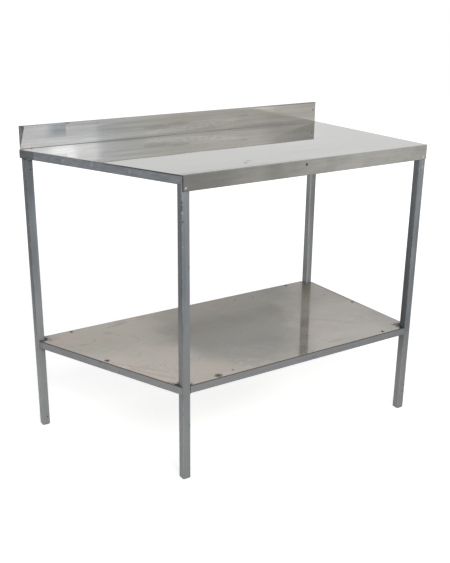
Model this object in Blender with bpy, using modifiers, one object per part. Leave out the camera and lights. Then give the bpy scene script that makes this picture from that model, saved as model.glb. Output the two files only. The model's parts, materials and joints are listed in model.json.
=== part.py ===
"""Angled lab bench: a folded stainless worktop and a flat lower shelf on a welded square-tube frame.

Seen from above the bench is a right trapezoid. The front, the rear and the right end stand square
to each other, and the left end runs out at an angle towards the back, so the rear is the longer side.
Units are metres. +X runs along the front to the right, +Y to the back and +Z up, and the origin is
on the floor, under the middle of the outline's box.
"""

import math

import bmesh
import bpy
from mathutils import Matrix, Vector

# Overall sizes
REAR_LENGTH = 1.100
DEPTH = 0.550
END_ANGLE_DEG = 22.5
WORKTOP_HEIGHT = 0.900
SHELF_HEIGHT = 0.300

# Square tube of the frame
TUBE = 0.025
TUBE_WALL = 0.0015
TUBE_CORNER = 0.003

# Folded worktop sheet
TOP_SHEET = 0.0012
BEND_RADIUS = 0.0015
APRON_LAP = 0.018
APRON_SETBACK = 0.0025
UPSTAND_HEIGHT = 0.066
RETURN_DEPTH = 0.012

# Triangular plate that closes the raked left end of the upstand
UPSTAND_RAKE = 0.0175
END_PLATE_FLARE = 0.012
END_PLATE = 0.0012

# Lower shelf
SHELF_SHEET = 0.0010
NOTCH_GAP = 0.003

# Feet pressed into the legs
FOOT_FLANGE = 0.004
FOOT_ROUND = 0.0018
FOOT_PLUG = 0.018

# Dome-headed screws, and where they stand
SCREW_HEAD_RADIUS = 0.0040
SCREW_HEAD_HEIGHT = 0.0024
SCREW_SHANK_RADIUS = 0.0020
SCREW_LENGTH = 0.010
SHELF_SCREW_FROM_LEFT = 0.126
SHELF_SCREW_FROM_RIGHT = 0.111

# Rivet in the upstand, and the empty screw hole in the apron
RIVET_RADIUS = 0.0025
RIVET_HEIGHT = 0.0010
RIVET_SHANK_RADIUS = 0.0016
RIVET_FROM_RIGHT = 0.0105
RIVET_RISE = 0.040
EMPTY_HOLE_RADIUS = 0.0024
EMPTY_HOLE_FROM_RIGHT = 0.4675

# Gap left between touching pieces, and how finely round shapes are drawn
CLEAR = 0.0003
CORNER_STEPS = 4
BEND_STEPS = 4
TURN_STEPS = 20
DOME_STEPS = 4
FOOT_ROUND_STEPS = 2
CUT_MARGIN = 0.002
WELD_DISTANCE = 1e-6
SHARP_ANGLE = math.radians(40)
RIM_ANGLE = math.radians(60)

# Plan of the bench
SLANT = math.tan(math.radians(END_ANGLE_DEG))
FRONT_REACH = SCREW_HEAD_HEIGHT + CLEAR
Y_FRONT = FRONT_REACH - (FRONT_REACH + DEPTH + RETURN_DEPTH) / 2
Y_REAR = Y_FRONT + DEPTH
X_RIGHT = REAR_LENGTH / 2
X_REAR_LEFT = X_RIGHT - REAR_LENGTH
X_FRONT_LEFT = X_REAR_LEFT + DEPTH * SLANT

# Frame inside the apron, and the height of each layer
Y_LEG_FRONT = Y_FRONT + TOP_SHEET + CLEAR
RAIL_TOP = WORKTOP_HEIGHT - TOP_SHEET - CLEAR
LEG_TOP = RAIL_TOP - TUBE - CLEAR
LEG_FOOT = FOOT_FLANGE + CLEAR
APRON_BOTTOM = LEG_TOP - APRON_LAP
SHELF_RAIL_TOP = SHELF_HEIGHT - SHELF_SHEET - CLEAR
UPSTAND_TOP = WORKTOP_HEIGHT + UPSTAND_HEIGHT
UPSTAND_FACE = Y_REAR - TOP_SHEET


def slanted_x(y):
    """X of the angled end's upright plane at a given Y."""
    return X_FRONT_LEFT - (y - Y_FRONT) * SLANT


# Left front corner of each leg; the rear left leg is centred on the angled end's plane
X_REAR_LEFT_LEG = slanted_x(Y_REAR - TUBE / 2)
LEG_PLACES = {
    "front_left": (X_FRONT_LEFT, Y_LEG_FRONT),
    "front_right": (X_RIGHT - TUBE, Y_LEG_FRONT),
    "rear_left": (X_REAR_LEFT_LEG, Y_REAR - TUBE),
    "rear_right": (X_RIGHT - TUBE, Y_REAR - TUBE),
}

# Outer corners of the frame, counted round the plan with the inside on the left
FRAME_CORNERS = {
    "front": Vector((slanted_x(Y_LEG_FRONT), Y_LEG_FRONT)),
    "right": Vector((X_RIGHT, Y_LEG_FRONT)),
    "rear": Vector((X_RIGHT, Y_REAR)),
    "left": Vector((X_REAR_LEFT, Y_REAR)),
}
SIDES = list(FRAME_CORNERS)


def new_collection(name):
    """A collection linked to the scene."""
    collection = bpy.data.collections.new(name)
    bpy.context.scene.collection.children.link(collection)
    return collection


for leftover in list(bpy.data.objects):
    bpy.data.objects.remove(leftover, do_unlink=True)
PARTS = new_collection("angled_lab_table")
CUTTERS = new_collection("angled_lab_table_cutters")


def new_material(name, colour, roughness, metallic):
    """A Principled material of one finish."""
    material = bpy.data.materials.new(name)
    material.use_nodes = True
    shader = material.node_tree.nodes["Principled BSDF"]
    shader.inputs["Base Color"].default_value = (*colour, 1.0)
    shader.inputs["Roughness"].default_value = roughness
    shader.inputs["Metallic"].default_value = metallic
    return material


FRAME_PAINT = new_material("frame_paint", (0.24, 0.26, 0.28), 0.50, 0.30)
STAINLESS = new_material("stainless_sheet", (0.60, 0.59, 0.57), 0.18, 1.0)
SCREW_STEEL = new_material("screw_steel", (0.66, 0.65, 0.62), 0.30, 1.0)
DARK_RIVET = new_material("dark_rivet", (0.10, 0.10, 0.10), 0.55, 0.8)
FOOT_PLASTIC = new_material("foot_plastic", (0.22, 0.24, 0.25), 0.60, 0.0)


def add_part(name, mesh, material, place=None):
    """A named piece in the bench's collection."""
    piece = bpy.data.objects.new(name, mesh)
    mesh.materials.append(material)
    piece.matrix_world = place or Matrix()
    PARTS.objects.link(piece)
    return piece


def add_cutter(name, mesh, place):
    """A hidden shape that Booleans take away."""
    cutter = bpy.data.objects.new(name, mesh)
    cutter.matrix_world = place
    cutter.hide_render = True
    cutter.display_type = "WIRE"
    CUTTERS.objects.link(cutter)
    return cutter


def take_away(piece, cutter):
    """Cuts one shape out of a piece."""
    cut = piece.modifiers.new(cutter.name, "BOOLEAN")
    cut.operation = "DIFFERENCE"
    cut.solver = "EXACT"
    cut.object = cutter


def outline_mesh(name, loops, thickness):
    """Fills flat outlines, the first one outside and the others as holes, to a plate about z = 0."""
    curve = bpy.data.curves.new(name, "CURVE")
    curve.dimensions = "2D"
    curve.fill_mode = "BOTH"
    curve.extrude = thickness / 2
    for loop in loops:
        spline = curve.splines.new("POLY")
        spline.points.add(len(loop) - 1)
        for point, (x, y) in zip(spline.points, loop):
            point.co = (x, y, 0.0, 1.0)
        spline.use_cyclic_u = True
    drawn = bpy.data.objects.new(name + "_outline", curve)
    bpy.context.scene.collection.objects.link(drawn)
    graph = bpy.context.evaluated_depsgraph_get()
    mesh = bpy.data.meshes.new_from_object(drawn.evaluated_get(graph))
    mesh.name = name
    bpy.data.objects.remove(drawn)
    bpy.data.curves.remove(curve)
    work = bmesh.new()
    work.from_mesh(mesh)
    bmesh.ops.remove_doubles(work, verts=work.verts, dist=WELD_DISTANCE)
    bmesh.ops.recalc_face_normals(work, faces=work.faces)
    work.to_mesh(mesh)
    work.free()
    return mesh


def arc(centre, radius, start, end, steps):
    """Points along an arc, both ends included."""
    turns = [start + (end - start) * step / steps for step in range(steps + 1)]
    return [(centre[0] + radius * math.cos(t), centre[1] + radius * math.sin(t)) for t in turns]


def rounded_square(side, radius):
    """Outline of a square with round corners, about the origin."""
    inset = side / 2 - radius
    corners = ((inset, inset), (-inset, inset), (-inset, -inset), (inset, -inset))
    points = []
    for index, corner in enumerate(corners):
        start = index * math.pi / 2
        points += arc(corner, radius, start, start + math.pi / 2, CORNER_STEPS)
    return points


def circle(centre, radius):
    """Outline of a round hole."""
    return arc(centre, radius, 0.0, 2 * math.pi * (1 - 1 / TURN_STEPS), TURN_STEPS - 1)


BORE = TUBE - 2 * TUBE_WALL
BORE_CORNER = max(TUBE_CORNER - TUBE_WALL, TUBE_CORNER / 4)


def tube_mesh(name, length):
    """A straight length of hollow square tube along z, about the origin."""
    loops = [rounded_square(TUBE, TUBE_CORNER), rounded_square(BORE, BORE_CORNER)]
    mesh = outline_mesh(name, loops, length)
    mesh.shade_smooth()
    mesh.set_sharp_from_angle(angle=SHARP_ANGLE)
    return mesh


def upright(x, y, z):
    """Places a piece without turning it."""
    return Matrix.Translation((x, y, z))


def inward(direction):
    """The level direction to the left of a side, which is the inside of the plan."""
    return Vector((-direction.y, direction.x))


# Legs and their feet


def add_legs():
    """Four hollow legs, all square to the front."""
    legs = {}
    for corner, (x, y) in LEG_PLACES.items():
        name = "leg_" + corner
        place = upright(x + TUBE / 2, y + TUBE / 2, (LEG_FOOT + LEG_TOP) / 2)
        legs[corner] = add_part(name, tube_mesh(name, LEG_TOP - LEG_FOOT), FRAME_PAINT, place)
    return legs


def add_feet():
    """A push-in foot under each leg: a flange with a rounded lower edge, and a plug in the bore."""
    plug_side = BORE - 2 * CLEAR
    plug_length = FOOT_PLUG + FOOT_FLANGE / 2
    for corner, (x, y) in LEG_PLACES.items():
        name = "foot_" + corner
        flange = outline_mesh(name, [rounded_square(TUBE, TUBE_CORNER)], FOOT_FLANGE)
        work = bmesh.new()
        work.from_mesh(flange)
        low = [edge for edge in work.edges if all(vertex.co.z < 0 for vertex in edge.verts)]
        rim = [edge for edge in low if edge.calc_face_angle() > RIM_ANGLE]
        bmesh.ops.bevel(
            work, geom=rim, offset=FOOT_ROUND, segments=FOOT_ROUND_STEPS, affect="EDGES", profile=0.5
        )
        work.to_mesh(flange)
        work.free()
        foot = add_part(name, flange, FOOT_PLASTIC, upright(x + TUBE / 2, y + TUBE / 2, FOOT_FLANGE / 2))
        plug = outline_mesh(name + "_plug", [rounded_square(plug_side, BORE_CORNER)], plug_length)
        rise = FOOT_FLANGE / 2 + plug_length / 2
        plug_body = add_cutter(name + "_plug", plug, upright(x + TUBE / 2, y + TUBE / 2, rise))
        join = foot.modifiers.new("plug", "BOOLEAN")
        join.operation = "UNION"
        join.solver = "EXACT"
        join.object = plug_body


# Rails


def add_rail(name, start, end, start_cut, end_cut, top):
    """A level rail whose outer face runs between two plan points, each end cut by an upright plane.

    A cut is a point and a normal in plan. Every corner of the tube slides along the rail until it
    meets the plane, which gives a mitre, a square end or an oblique one.
    """
    along = (end - start).normalized()
    into = inward(along)
    middle = (start + end) / 2
    mesh = tube_mesh(name, (end - start).length)
    for vertex in mesh.vertices:
        point, normal = start_cut if vertex.co.z < 0 else end_cut
        line = middle + into * (vertex.co.x + TUBE / 2)
        vertex.co.z = (point - line).dot(normal) / along.dot(normal)
    mesh.update()
    centre = middle + into * (TUBE / 2)
    turn = Matrix(((into.x, 0, along.x), (into.y, 0, along.y), (0, 1, 0))).to_4x4()
    return add_part(name, mesh, FRAME_PAINT, upright(centre.x, centre.y, top - TUBE / 2) @ turn)


def add_top_rails():
    """The ring of rails under the worktop, mitred at its four corners, standing on the legs."""
    along = {}
    for index, side in enumerate(SIDES):
        following = SIDES[(index + 1) % len(SIDES)]
        along[side] = (FRAME_CORNERS[following] - FRAME_CORNERS[side]).normalized()
    rails = {}
    for index, side in enumerate(SIDES):
        before = SIDES[index - 1]
        following = SIDES[(index + 1) % len(SIDES)]
        start = FRAME_CORNERS[side]
        end = FRAME_CORNERS[following]
        start_normal = (along[before] + along[side]).normalized()
        end_normal = (along[side] + along[following]).normalized()
        start_cut = (start + start_normal * (CLEAR / 2), start_normal)
        end_cut = (end - end_normal * (CLEAR / 2), end_normal)
        rails[side] = add_rail("top_rail_" + side, start, end, start_cut, end_cut, RAIL_TOP)
    return rails


def add_shelf_rails():
    """The rails between the legs that carry the shelf; the angled one is coped round the front leg."""
    x_across = Vector((1, 0))
    y_across = Vector((0, 1))
    leg_right = Vector((X_FRONT_LEFT + TUBE + CLEAR, Y_LEG_FRONT))
    right_leg_left = Vector((X_RIGHT - TUBE - CLEAR, Y_LEG_FRONT))
    front_legs_back = Vector((X_RIGHT, Y_LEG_FRONT + TUBE + CLEAR))
    rear_legs_front = Vector((X_RIGHT, Y_REAR - TUBE - CLEAR))
    rear_leg_right = Vector((X_REAR_LEFT_LEG + TUBE + CLEAR, Y_REAR))
    front_line = Vector((X_FRONT_LEFT, Y_LEG_FRONT))
    ends = {
        "front": ((leg_right, x_across), (right_leg_left, x_across)),
        "right": ((front_legs_back, y_across), (rear_legs_front, y_across)),
        "rear": ((right_leg_left, x_across), (rear_leg_right, x_across)),
        "left": ((rear_legs_front, y_across), (front_line, y_across)),
    }
    rails = {}
    for index, side in enumerate(SIDES):
        start = FRAME_CORNERS[side]
        end = FRAME_CORNERS[SIDES[(index + 1) % len(SIDES)]]
        rails[side] = add_rail("shelf_rail_" + side, start, end, *ends[side], SHELF_RAIL_TOP)
    cope = bmesh.new()
    bmesh.ops.create_cube(cope, size=1.0)
    cope_mesh = bpy.data.meshes.new("leg_cope")
    cope.to_mesh(cope_mesh)
    cope.free()
    size = Vector((TUBE * 2, TUBE + CLEAR + CUT_MARGIN, TUBE + 2 * CUT_MARGIN))
    corner = Vector((X_FRONT_LEFT - CLEAR, Y_LEG_FRONT - CUT_MARGIN, SHELF_RAIL_TOP - TUBE - CUT_MARGIN))
    cope_mesh.transform(Matrix.Translation(corner + size / 2) @ Matrix.Diagonal((*size, 1.0)))
    take_away(rails["left"], add_cutter("leg_cope", cope_mesh, Matrix()))
    return rails


# Worktop


def bent_strip(corners, bend, thickness):
    """Outline of a sheet folded along a line of corners: the middle line is rounded at each fold,
    then set off half a thickness to either side."""
    radius = bend + thickness / 2
    middle = [(corners[0], (corners[1] - corners[0]).normalized())]
    for before, corner, after in zip(corners, corners[1:], corners[2:]):
        arriving = (corner - before).normalized()
        leaving = (after - corner).normalized()
        turn = arriving.angle_signed(leaving)
        reach = radius * math.tan(abs(turn) / 2)
        begin = corner - arriving * reach
        side = inward(arriving) if turn < 0 else -inward(arriving)
        centre = begin + side * radius
        for step in range(BEND_STEPS + 1):
            swing = Matrix.Rotation(-turn * step / BEND_STEPS, 2)
            middle.append((centre - swing @ (side * radius), swing @ arriving))
    middle.append((corners[-1], (corners[-1] - corners[-2]).normalized()))
    left = [point + inward(heading) * (thickness / 2) for point, heading in middle]
    right = [point - inward(heading) * (thickness / 2) for point, heading in middle]
    return left + right[::-1]


# The upstand's left end leans in as it rises, and its return runs back out to the left
END_FOOT_X = X_REAR_LEFT + 2 * (END_PLATE + CLEAR)
RAKE_SLOPE = UPSTAND_RAKE / UPSTAND_HEIGHT
FLARE_SLOPE = END_PLATE_FLARE / (RETURN_DEPTH + TOP_SHEET)


def raked_x(y, z):
    """X of the upstand's left end, on the plane of its closing plate."""
    return END_FOOT_X + RAKE_SLOPE * (z - WORKTOP_HEIGHT) - FLARE_SLOPE * max(y - UPSTAND_FACE, 0.0)


def worktop_left_x(y, z):
    """X of the sheet's left edge at a point of its section: apron, flat top or upstand."""
    if z > WORKTOP_HEIGHT + CLEAR:
        return raked_x(y, z)
    down = (WORKTOP_HEIGHT - TOP_SHEET - z) / BEND_RADIUS
    return slanted_x(y) + APRON_SETBACK * min(max(down, 0.0), 1.0)


def add_worktop():
    """One folded sheet: apron, flat top, upstand and its return, drawn as a section along X."""
    half = TOP_SHEET / 2
    top = WORKTOP_HEIGHT - half
    corners = [
        Vector((Y_FRONT + half, APRON_BOTTOM)),
        Vector((Y_FRONT + half, top)),
        Vector((Y_REAR - half, top)),
        Vector((Y_REAR - half, UPSTAND_TOP - half)),
        Vector((Y_REAR + RETURN_DEPTH, UPSTAND_TOP - half)),
    ]
    mesh = outline_mesh("worktop_sheet", [bent_strip(corners, BEND_RADIUS, TOP_SHEET)], REAR_LENGTH)
    for vertex in mesh.vertices:
        y = vertex.co.x
        z = vertex.co.y
        x = X_RIGHT if vertex.co.z > 0 else worktop_left_x(y, z)
        vertex.co = (x, y, z)
    mesh.update()
    mesh.shade_smooth()
    mesh.set_sharp_from_angle(angle=SHARP_ANGLE)
    return add_part("worktop_sheet", mesh, STAINLESS)


def add_end_plate():
    """The small triangular plate welded over the open left end of the upstand and its return."""
    foot = Vector((END_FOOT_X, UPSTAND_FACE, WORKTOP_HEIGHT))
    rise = Vector((RAKE_SLOPE, 0, 1)) * UPSTAND_HEIGHT
    back = Vector((-FLARE_SLOPE, 1, 0)) * (RETURN_DEPTH + TOP_SHEET)
    outward = back.cross(rise).normalized()
    if outward.x > 0:
        outward = -outward
    up = rise.normalized()
    across = up.cross(outward)
    foot_gap = CLEAR / up.z
    top_trim = outward.z * (CLEAR + END_PLATE) / up.z
    height = rise.length - top_trim
    tip = [(0.0, foot_gap), (0.0, height), (back.dot(across), height + back.dot(up))]
    mesh = outline_mesh("upstand_end_plate", [tip], END_PLATE)
    origin = foot + outward * (CLEAR + END_PLATE / 2)
    axes = Matrix((across, up, outward)).transposed().to_4x4()
    return add_part("upstand_end_plate", mesh, STAINLESS, Matrix.Translation(origin) @ axes)


# Shelf


def shelf_screw_places():
    """Where the shelf is screwed to the middle of its rails, with the rail each screw goes into."""
    front_y = Y_LEG_FRONT + TUBE / 2
    rear_y = Y_REAR - TUBE / 2
    middle_y = (Y_LEG_FRONT + Y_REAR) / 2
    slanted_half = TUBE / 2 / math.cos(math.radians(END_ANGLE_DEG))
    right_x = X_RIGHT - SHELF_SCREW_FROM_RIGHT
    return {
        "front_left": (X_FRONT_LEFT + SHELF_SCREW_FROM_LEFT, front_y, "front"),
        "front_right": (right_x, front_y, "front"),
        "right": (X_RIGHT - TUBE / 2, middle_y, "right"),
        "rear_right": (right_x, rear_y, "rear"),
        "rear_left": (X_REAR_LEFT + SHELF_SCREW_FROM_LEFT, rear_y, "rear"),
        "left": (slanted_x(middle_y) + slanted_half, middle_y, "left"),
    }


def add_shelf():
    """A flat sheet on the shelf rails, flush with their outer faces and notched round the legs."""
    notch = TUBE + NOTCH_GAP
    left = X_FRONT_LEFT + notch
    right = X_RIGHT - notch
    front = Y_LEG_FRONT + notch
    rear = Y_REAR - notch
    outline = [
        (left, Y_LEG_FRONT),
        (right, Y_LEG_FRONT),
        (right, front),
        (X_RIGHT, front),
        (X_RIGHT, rear),
        (right, rear),
        (right, Y_REAR),
        (X_REAR_LEFT_LEG + notch, Y_REAR),
        (X_REAR_LEFT_LEG + notch, rear),
        (slanted_x(rear), rear),
        (slanted_x(front), front),
        (left, front),
    ]
    holes = [circle((x, y), SCREW_SHANK_RADIUS + CLEAR) for x, y, _ in shelf_screw_places().values()]
    mesh = outline_mesh("shelf_sheet", [outline, *holes], SHELF_SHEET)
    return add_part("shelf_sheet", mesh, STAINLESS, upright(0, 0, SHELF_HEIGHT - SHELF_SHEET / 2))


# Fasteners


def turned_mesh(name, profile):
    """A profile, given from its top centre down its outer side, as edges for a Screw modifier."""
    mesh = bpy.data.meshes.new(name)
    points = [(x, 0.0, z) for x, z in profile]
    mesh.from_pydata(points, [(i, i + 1) for i in range(len(points) - 1)], [])
    return mesh


def add_fastener(name, radius, height, shank_radius, length, material, place):
    """A dome-headed fastener turned about z, its head's underside at z = CLEAR."""
    shares = [step / DOME_STEPS for step in range(DOME_STEPS)]
    profile = [(radius * share, CLEAR + height * (1 - share**2)) for share in shares]
    profile += [(radius, CLEAR), (shank_radius, CLEAR), (shank_radius, -length), (0.0, -length)]
    piece = add_part(name, turned_mesh(name, profile), material, place)
    turning = piece.modifiers.new("turning", "SCREW")
    turning.axis = "Z"
    turning.steps = TURN_STEPS
    turning.render_steps = TURN_STEPS
    turning.use_merge_vertices = True
    turning.merge_threshold = WELD_DISTANCE
    turning.use_smooth_shade = True
    return piece


def drill(name, radius, depth, place, pieces):
    """A round hole along z from just above the place to a depth below it."""
    work = bmesh.new()
    bmesh.ops.create_cone(
        work, cap_ends=True, segments=TURN_STEPS, radius1=radius, radius2=radius, depth=depth + CUT_MARGIN
    )
    mesh = bpy.data.meshes.new(name)
    work.to_mesh(mesh)
    work.free()
    mesh.transform(upright(0, 0, (CUT_MARGIN - depth) / 2))
    cutter = add_cutter(name, mesh, place)
    for piece in pieces:
        take_away(piece, cutter)


def facing_front(x, y, z):
    """Places a fastener so that its head looks to the front."""
    return upright(x, y, z) @ Matrix.Rotation(math.pi / 2, 4, "X")


def add_screws(legs, shelf_rails, worktop):
    """Two screws through the apron into the front legs, and six through the shelf into its rails."""
    screw = (SCREW_HEAD_RADIUS, SCREW_HEAD_HEIGHT, SCREW_SHANK_RADIUS, SCREW_LENGTH, SCREW_STEEL)
    hole = SCREW_SHANK_RADIUS + CLEAR
    apron_depth = TOP_SHEET + CLEAR + TUBE_WALL + CUT_MARGIN
    for corner in ("front_left", "front_right"):
        x = LEG_PLACES[corner][0] + TUBE / 2
        place = facing_front(x, Y_FRONT, (LEG_TOP + APRON_BOTTOM) / 2)
        add_fastener("apron_screw_" + corner, *screw, place)
        drill("apron_hole_" + corner, hole, apron_depth, place, (worktop, legs[corner]))
    shelf_depth = SHELF_SHEET + CLEAR + TUBE_WALL + CUT_MARGIN
    for spot, (x, y, side) in shelf_screw_places().items():
        place = upright(x, y, SHELF_HEIGHT)
        add_fastener("shelf_screw_" + spot, *screw, place)
        drill("shelf_hole_" + spot, hole, shelf_depth, place, (shelf_rails[side],))


def add_upstand_rivet(worktop):
    """The dark rivet near the upstand's right end."""
    place = facing_front(X_RIGHT - RIVET_FROM_RIGHT, UPSTAND_FACE, WORKTOP_HEIGHT + RIVET_RISE)
    length = TOP_SHEET + RIVET_HEIGHT
    add_fastener("upstand_rivet", RIVET_RADIUS, RIVET_HEIGHT, RIVET_SHANK_RADIUS, length, DARK_RIVET, place)
    drill("rivet_hole", RIVET_SHANK_RADIUS + CLEAR, TOP_SHEET + CUT_MARGIN, place, (worktop,))


def drill_empty_hole(worktop, front_rail):
    """The screw hole in the apron, and on into the front rail, that holds no screw."""
    place = facing_front(X_RIGHT - EMPTY_HOLE_FROM_RIGHT, Y_FRONT, RAIL_TOP - TUBE / 2)
    depth = TOP_SHEET + CLEAR + TUBE_WALL + CUT_MARGIN
    drill("empty_hole", EMPTY_HOLE_RADIUS, depth, place, (worktop, front_rail))


leg_pieces = add_legs()
add_feet()
top_rail_pieces = add_top_rails()
shelf_rail_pieces = add_shelf_rails()
worktop_piece = add_worktop()
add_end_plate()
add_shelf()
add_screws(leg_pieces, shelf_rail_pieces, worktop_piece)
add_upstand_rivet(worktop_piece)
drill_empty_hole(worktop_piece, top_rail_pieces["front"])
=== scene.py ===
# %% [markdown]
# # An angled laboratory bench in worn steel
# The bench is a folded stainless worktop and a flat stainless shelf on a frame welded from square tube.
# Seen from above it is a right trapezoid, because its left end runs out at an angle towards the back.
# This lesson dresses the CAD model of that bench. The model is loaded as a fixed frame, and every new
# piece takes its place from the frame's own numbers, so nothing is fitted by eye.

# %% Load the frame
import json
import math

import bmesh
import bpy
import numpy as np
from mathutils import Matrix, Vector


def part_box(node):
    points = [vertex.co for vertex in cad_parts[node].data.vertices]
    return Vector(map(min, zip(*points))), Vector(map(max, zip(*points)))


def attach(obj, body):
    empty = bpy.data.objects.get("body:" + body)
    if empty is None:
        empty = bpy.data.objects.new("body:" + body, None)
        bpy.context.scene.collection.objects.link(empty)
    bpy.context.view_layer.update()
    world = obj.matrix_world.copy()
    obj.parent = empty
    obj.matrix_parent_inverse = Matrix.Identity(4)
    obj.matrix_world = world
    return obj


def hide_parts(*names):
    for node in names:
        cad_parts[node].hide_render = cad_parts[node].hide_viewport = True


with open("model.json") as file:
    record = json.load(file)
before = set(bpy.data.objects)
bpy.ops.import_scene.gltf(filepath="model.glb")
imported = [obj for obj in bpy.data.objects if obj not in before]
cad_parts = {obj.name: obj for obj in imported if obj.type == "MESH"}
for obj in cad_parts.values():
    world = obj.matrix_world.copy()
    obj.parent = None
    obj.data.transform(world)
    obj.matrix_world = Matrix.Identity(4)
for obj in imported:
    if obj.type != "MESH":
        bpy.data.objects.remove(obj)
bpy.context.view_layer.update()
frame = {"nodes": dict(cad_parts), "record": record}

# %% [markdown]
# ## Sizes read from the frame
# A dressed piece has to sit exactly where its CAD solid sits. Copying numbers by hand would work until
# somebody changes a size, so the boxes of the legs, rails and sheets are measured here instead, and the
# slope of the angled end is worked out from where its two legs stand.

# %% Measure the frame
CORNERS = ("front_left", "front_right", "rear_left", "rear_right")
SIDES = ("front", "right", "rear", "left")


def node_box(name):
    """Lowest and highest corner of a CAD node, as two arrays."""
    low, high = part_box(name)
    return np.array(low), np.array(high)


leg_low = {corner: node_box("leg_" + corner)[0] for corner in CORNERS}
leg_high = {corner: node_box("leg_" + corner)[1] for corner in CORNERS}
leg_middle = {corner: (leg_low[corner] + leg_high[corner]) / 2 for corner in CORNERS}
sheet_low, sheet_high = node_box("worktop_sheet")
mount_places = {mount["name"]: mount["pos_m"] for mount in frame["record"]["mounts"]}

X_FRONT_LEFT, Y_LEG_FRONT, LEG_FOOT = leg_low["front_left"]
LEG_TOP = leg_high["front_left"][2]
TUBE = leg_high["front_left"][0] - X_FRONT_LEFT
Y_REAR = leg_high["rear_left"][1]
X_RIGHT, RETURN_EDGE, UPSTAND_TOP = sheet_high
Y_FRONT, APRON_BOTTOM = sheet_low[1:]
WORKTOP_HEIGHT = mount_places["worktop_surface"][2]
RAIL_TOP = node_box("top_rail_front")[1][2]
SHELF_RAIL_TOP = node_box("shelf_rail_front")[1][2]
SHELF_HEIGHT = node_box("shelf_sheet")[1][2]
SLANT = (X_FRONT_LEFT - leg_low["rear_left"][0]) / (Y_REAR - TUBE / 2 - Y_FRONT)
TOP_SHEET = 0.0012


def slanted_x(y):
    """X of the angled end's upright plane at a given Y."""
    return X_FRONT_LEFT - (y - Y_FRONT) * SLANT


print("tube %.1f mm, worktop at %.0f mm, shelf at %.0f mm, end angle %.1f degrees" % (
    TUBE * 1000, WORKTOP_HEIGHT * 1000, SHELF_HEIGHT * 1000, math.degrees(math.atan(SLANT))))

# %% [markdown]
# ## Camera
# The photograph looks down on the bench from its left front corner. Its straight edges fix the camera:
# place, turn, focal length and the small shift that comes from cropping. The values below were solved
# from those edges, with the bench standing in its own frame.

# %% Place the camera
CAMERA_PLACE = (-1.4111, -2.1413, 1.3616)
CAMERA_TURN_DEG = (69.638, -0.418, -32.567)
LENS_MM = 54.726
SENSOR_MM = 36.0
VIEW_SHIFT = (0.0157, 0.0326)


def add_object(name, data):
    """A new object in the scene."""
    item = bpy.data.objects.new(name, data)
    bpy.context.scene.collection.objects.link(item)
    return item


camera_data = bpy.data.cameras.new("photo_camera")
camera_data.lens = LENS_MM
camera_data.sensor_width = SENSOR_MM
camera_data.shift_x, camera_data.shift_y = VIEW_SHIFT
camera = add_object("photo_camera", camera_data)
camera.location = CAMERA_PLACE
camera.rotation_euler = [math.radians(turn) for turn in CAMERA_TURN_DEG]
bpy.context.scene.camera = camera
bpy.context.scene.view_settings.view_transform = "Standard"
print("camera at", CAMERA_PLACE, "with a lens of", LENS_MM, "mm")

# %% [markdown]
# ## Small helpers for shader nodes
# Every finish below is a tree of shader nodes, and written in full each node takes several lines. So a
# node's output is wrapped as a Value here, which can be added, subtracted and multiplied like a number.
# A few short helpers then fade, mix and shade. They take Values or plain numbers, and link or set them.

# %% Node helpers
NUMBER_RESULTS = ("DISTANCE", "LENGTH", "DOT_PRODUCT")


class Value:
    """A node's output, on which a sum adds a Math node to the same tree."""

    def __init__(self, socket):
        self.socket = socket
        self.tree = socket.id_data

    def __add__(self, other):
        return sums("ADD", self, other)

    def __sub__(self, other):
        return sums("SUBTRACT", self, other)

    def __rsub__(self, other):
        return sums("SUBTRACT", other, self)

    def __mul__(self, other):
        return sums("MULTIPLY", self, other)

    def __abs__(self):
        return sums("ABSOLUTE", self)


def join(value, socket):
    """Links a Value to a node's input, or sets the input to a plain number, vector or colour."""
    if isinstance(value, Value):
        value.tree.links.new(value.socket, socket)
    else:
        socket.default_value = value


def add_node(tree, kind, inputs=None, **settings):
    """A new shader node with its settings made and its inputs, by name or number, set or linked."""
    node = tree.nodes.new("ShaderNode" + kind)
    for setting, value in settings.items():
        setattr(node, setting, value)
    for key, value in (inputs or {}).items():
        join(value, node.inputs[key])
    return node


def value_of(tree, kind, inputs=None, output=0, **settings):
    """One output of a new shader node."""
    return Value(add_node(tree, kind, inputs, **settings).outputs[output])


def sums(operation, first, second=0.0, clamp=False):
    """One sum on two numbers, of which at least one is a Value."""
    tree = (first if isinstance(first, Value) else second).tree
    return value_of(tree, "Math", {0: first, 1: second}, operation=operation, use_clamp=clamp)


def largest(first, second):
    """The larger of two numbers."""
    return sums("MAXIMUM", first, second)


def vectors(operation, first, second=(0.0, 0.0, 0.0)):
    """One sum on two vectors or colours, of which the first is a Value."""
    output = "Value" if operation in NUMBER_RESULTS else "Vector"
    return value_of(first.tree, "VectorMath", {0: first, 1: second}, output, operation=operation)


def split(place):
    """X, Y and Z of a vector."""
    return [Value(socket) for socket in add_node(place.tree, "SeparateXYZ", {0: place}).outputs]


def fade(value, start, end, low=0.0, high=1.0):
    """Runs smoothly from low, where a value is at start, to high, where it is at end."""
    inputs = {"Value": value, "From Min": start, "From Max": end, "To Min": low, "To Max": high}
    return value_of(value.tree, "MapRange", inputs, interpolation_type="SMOOTHSTEP")


def blend(mask, low, high):
    """Low where a mask is zero and high where it is one."""
    return fade(mask, 0.0, 1.0, low, high)


def within(value, stops):
    """One between the two middle stops, fading to zero at the two outer ones."""
    return fade(value, stops[0], stops[1]) * fade(value, stops[3], stops[2])


def tint(mask, under, over):
    """The colour over laid on the colour under, as thickly as a mask says."""
    return value_of(mask.tree, "Mix", {0: mask, 6: under, 7: over}, 2, data_type="RGBA")


def shaded(colour, share):
    """A colour made darker or lighter by a share that changes over the surface."""
    return value_of(share.tree, "VectorMath", {0: colour, "Scale": share}, operation="SCALE")


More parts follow.
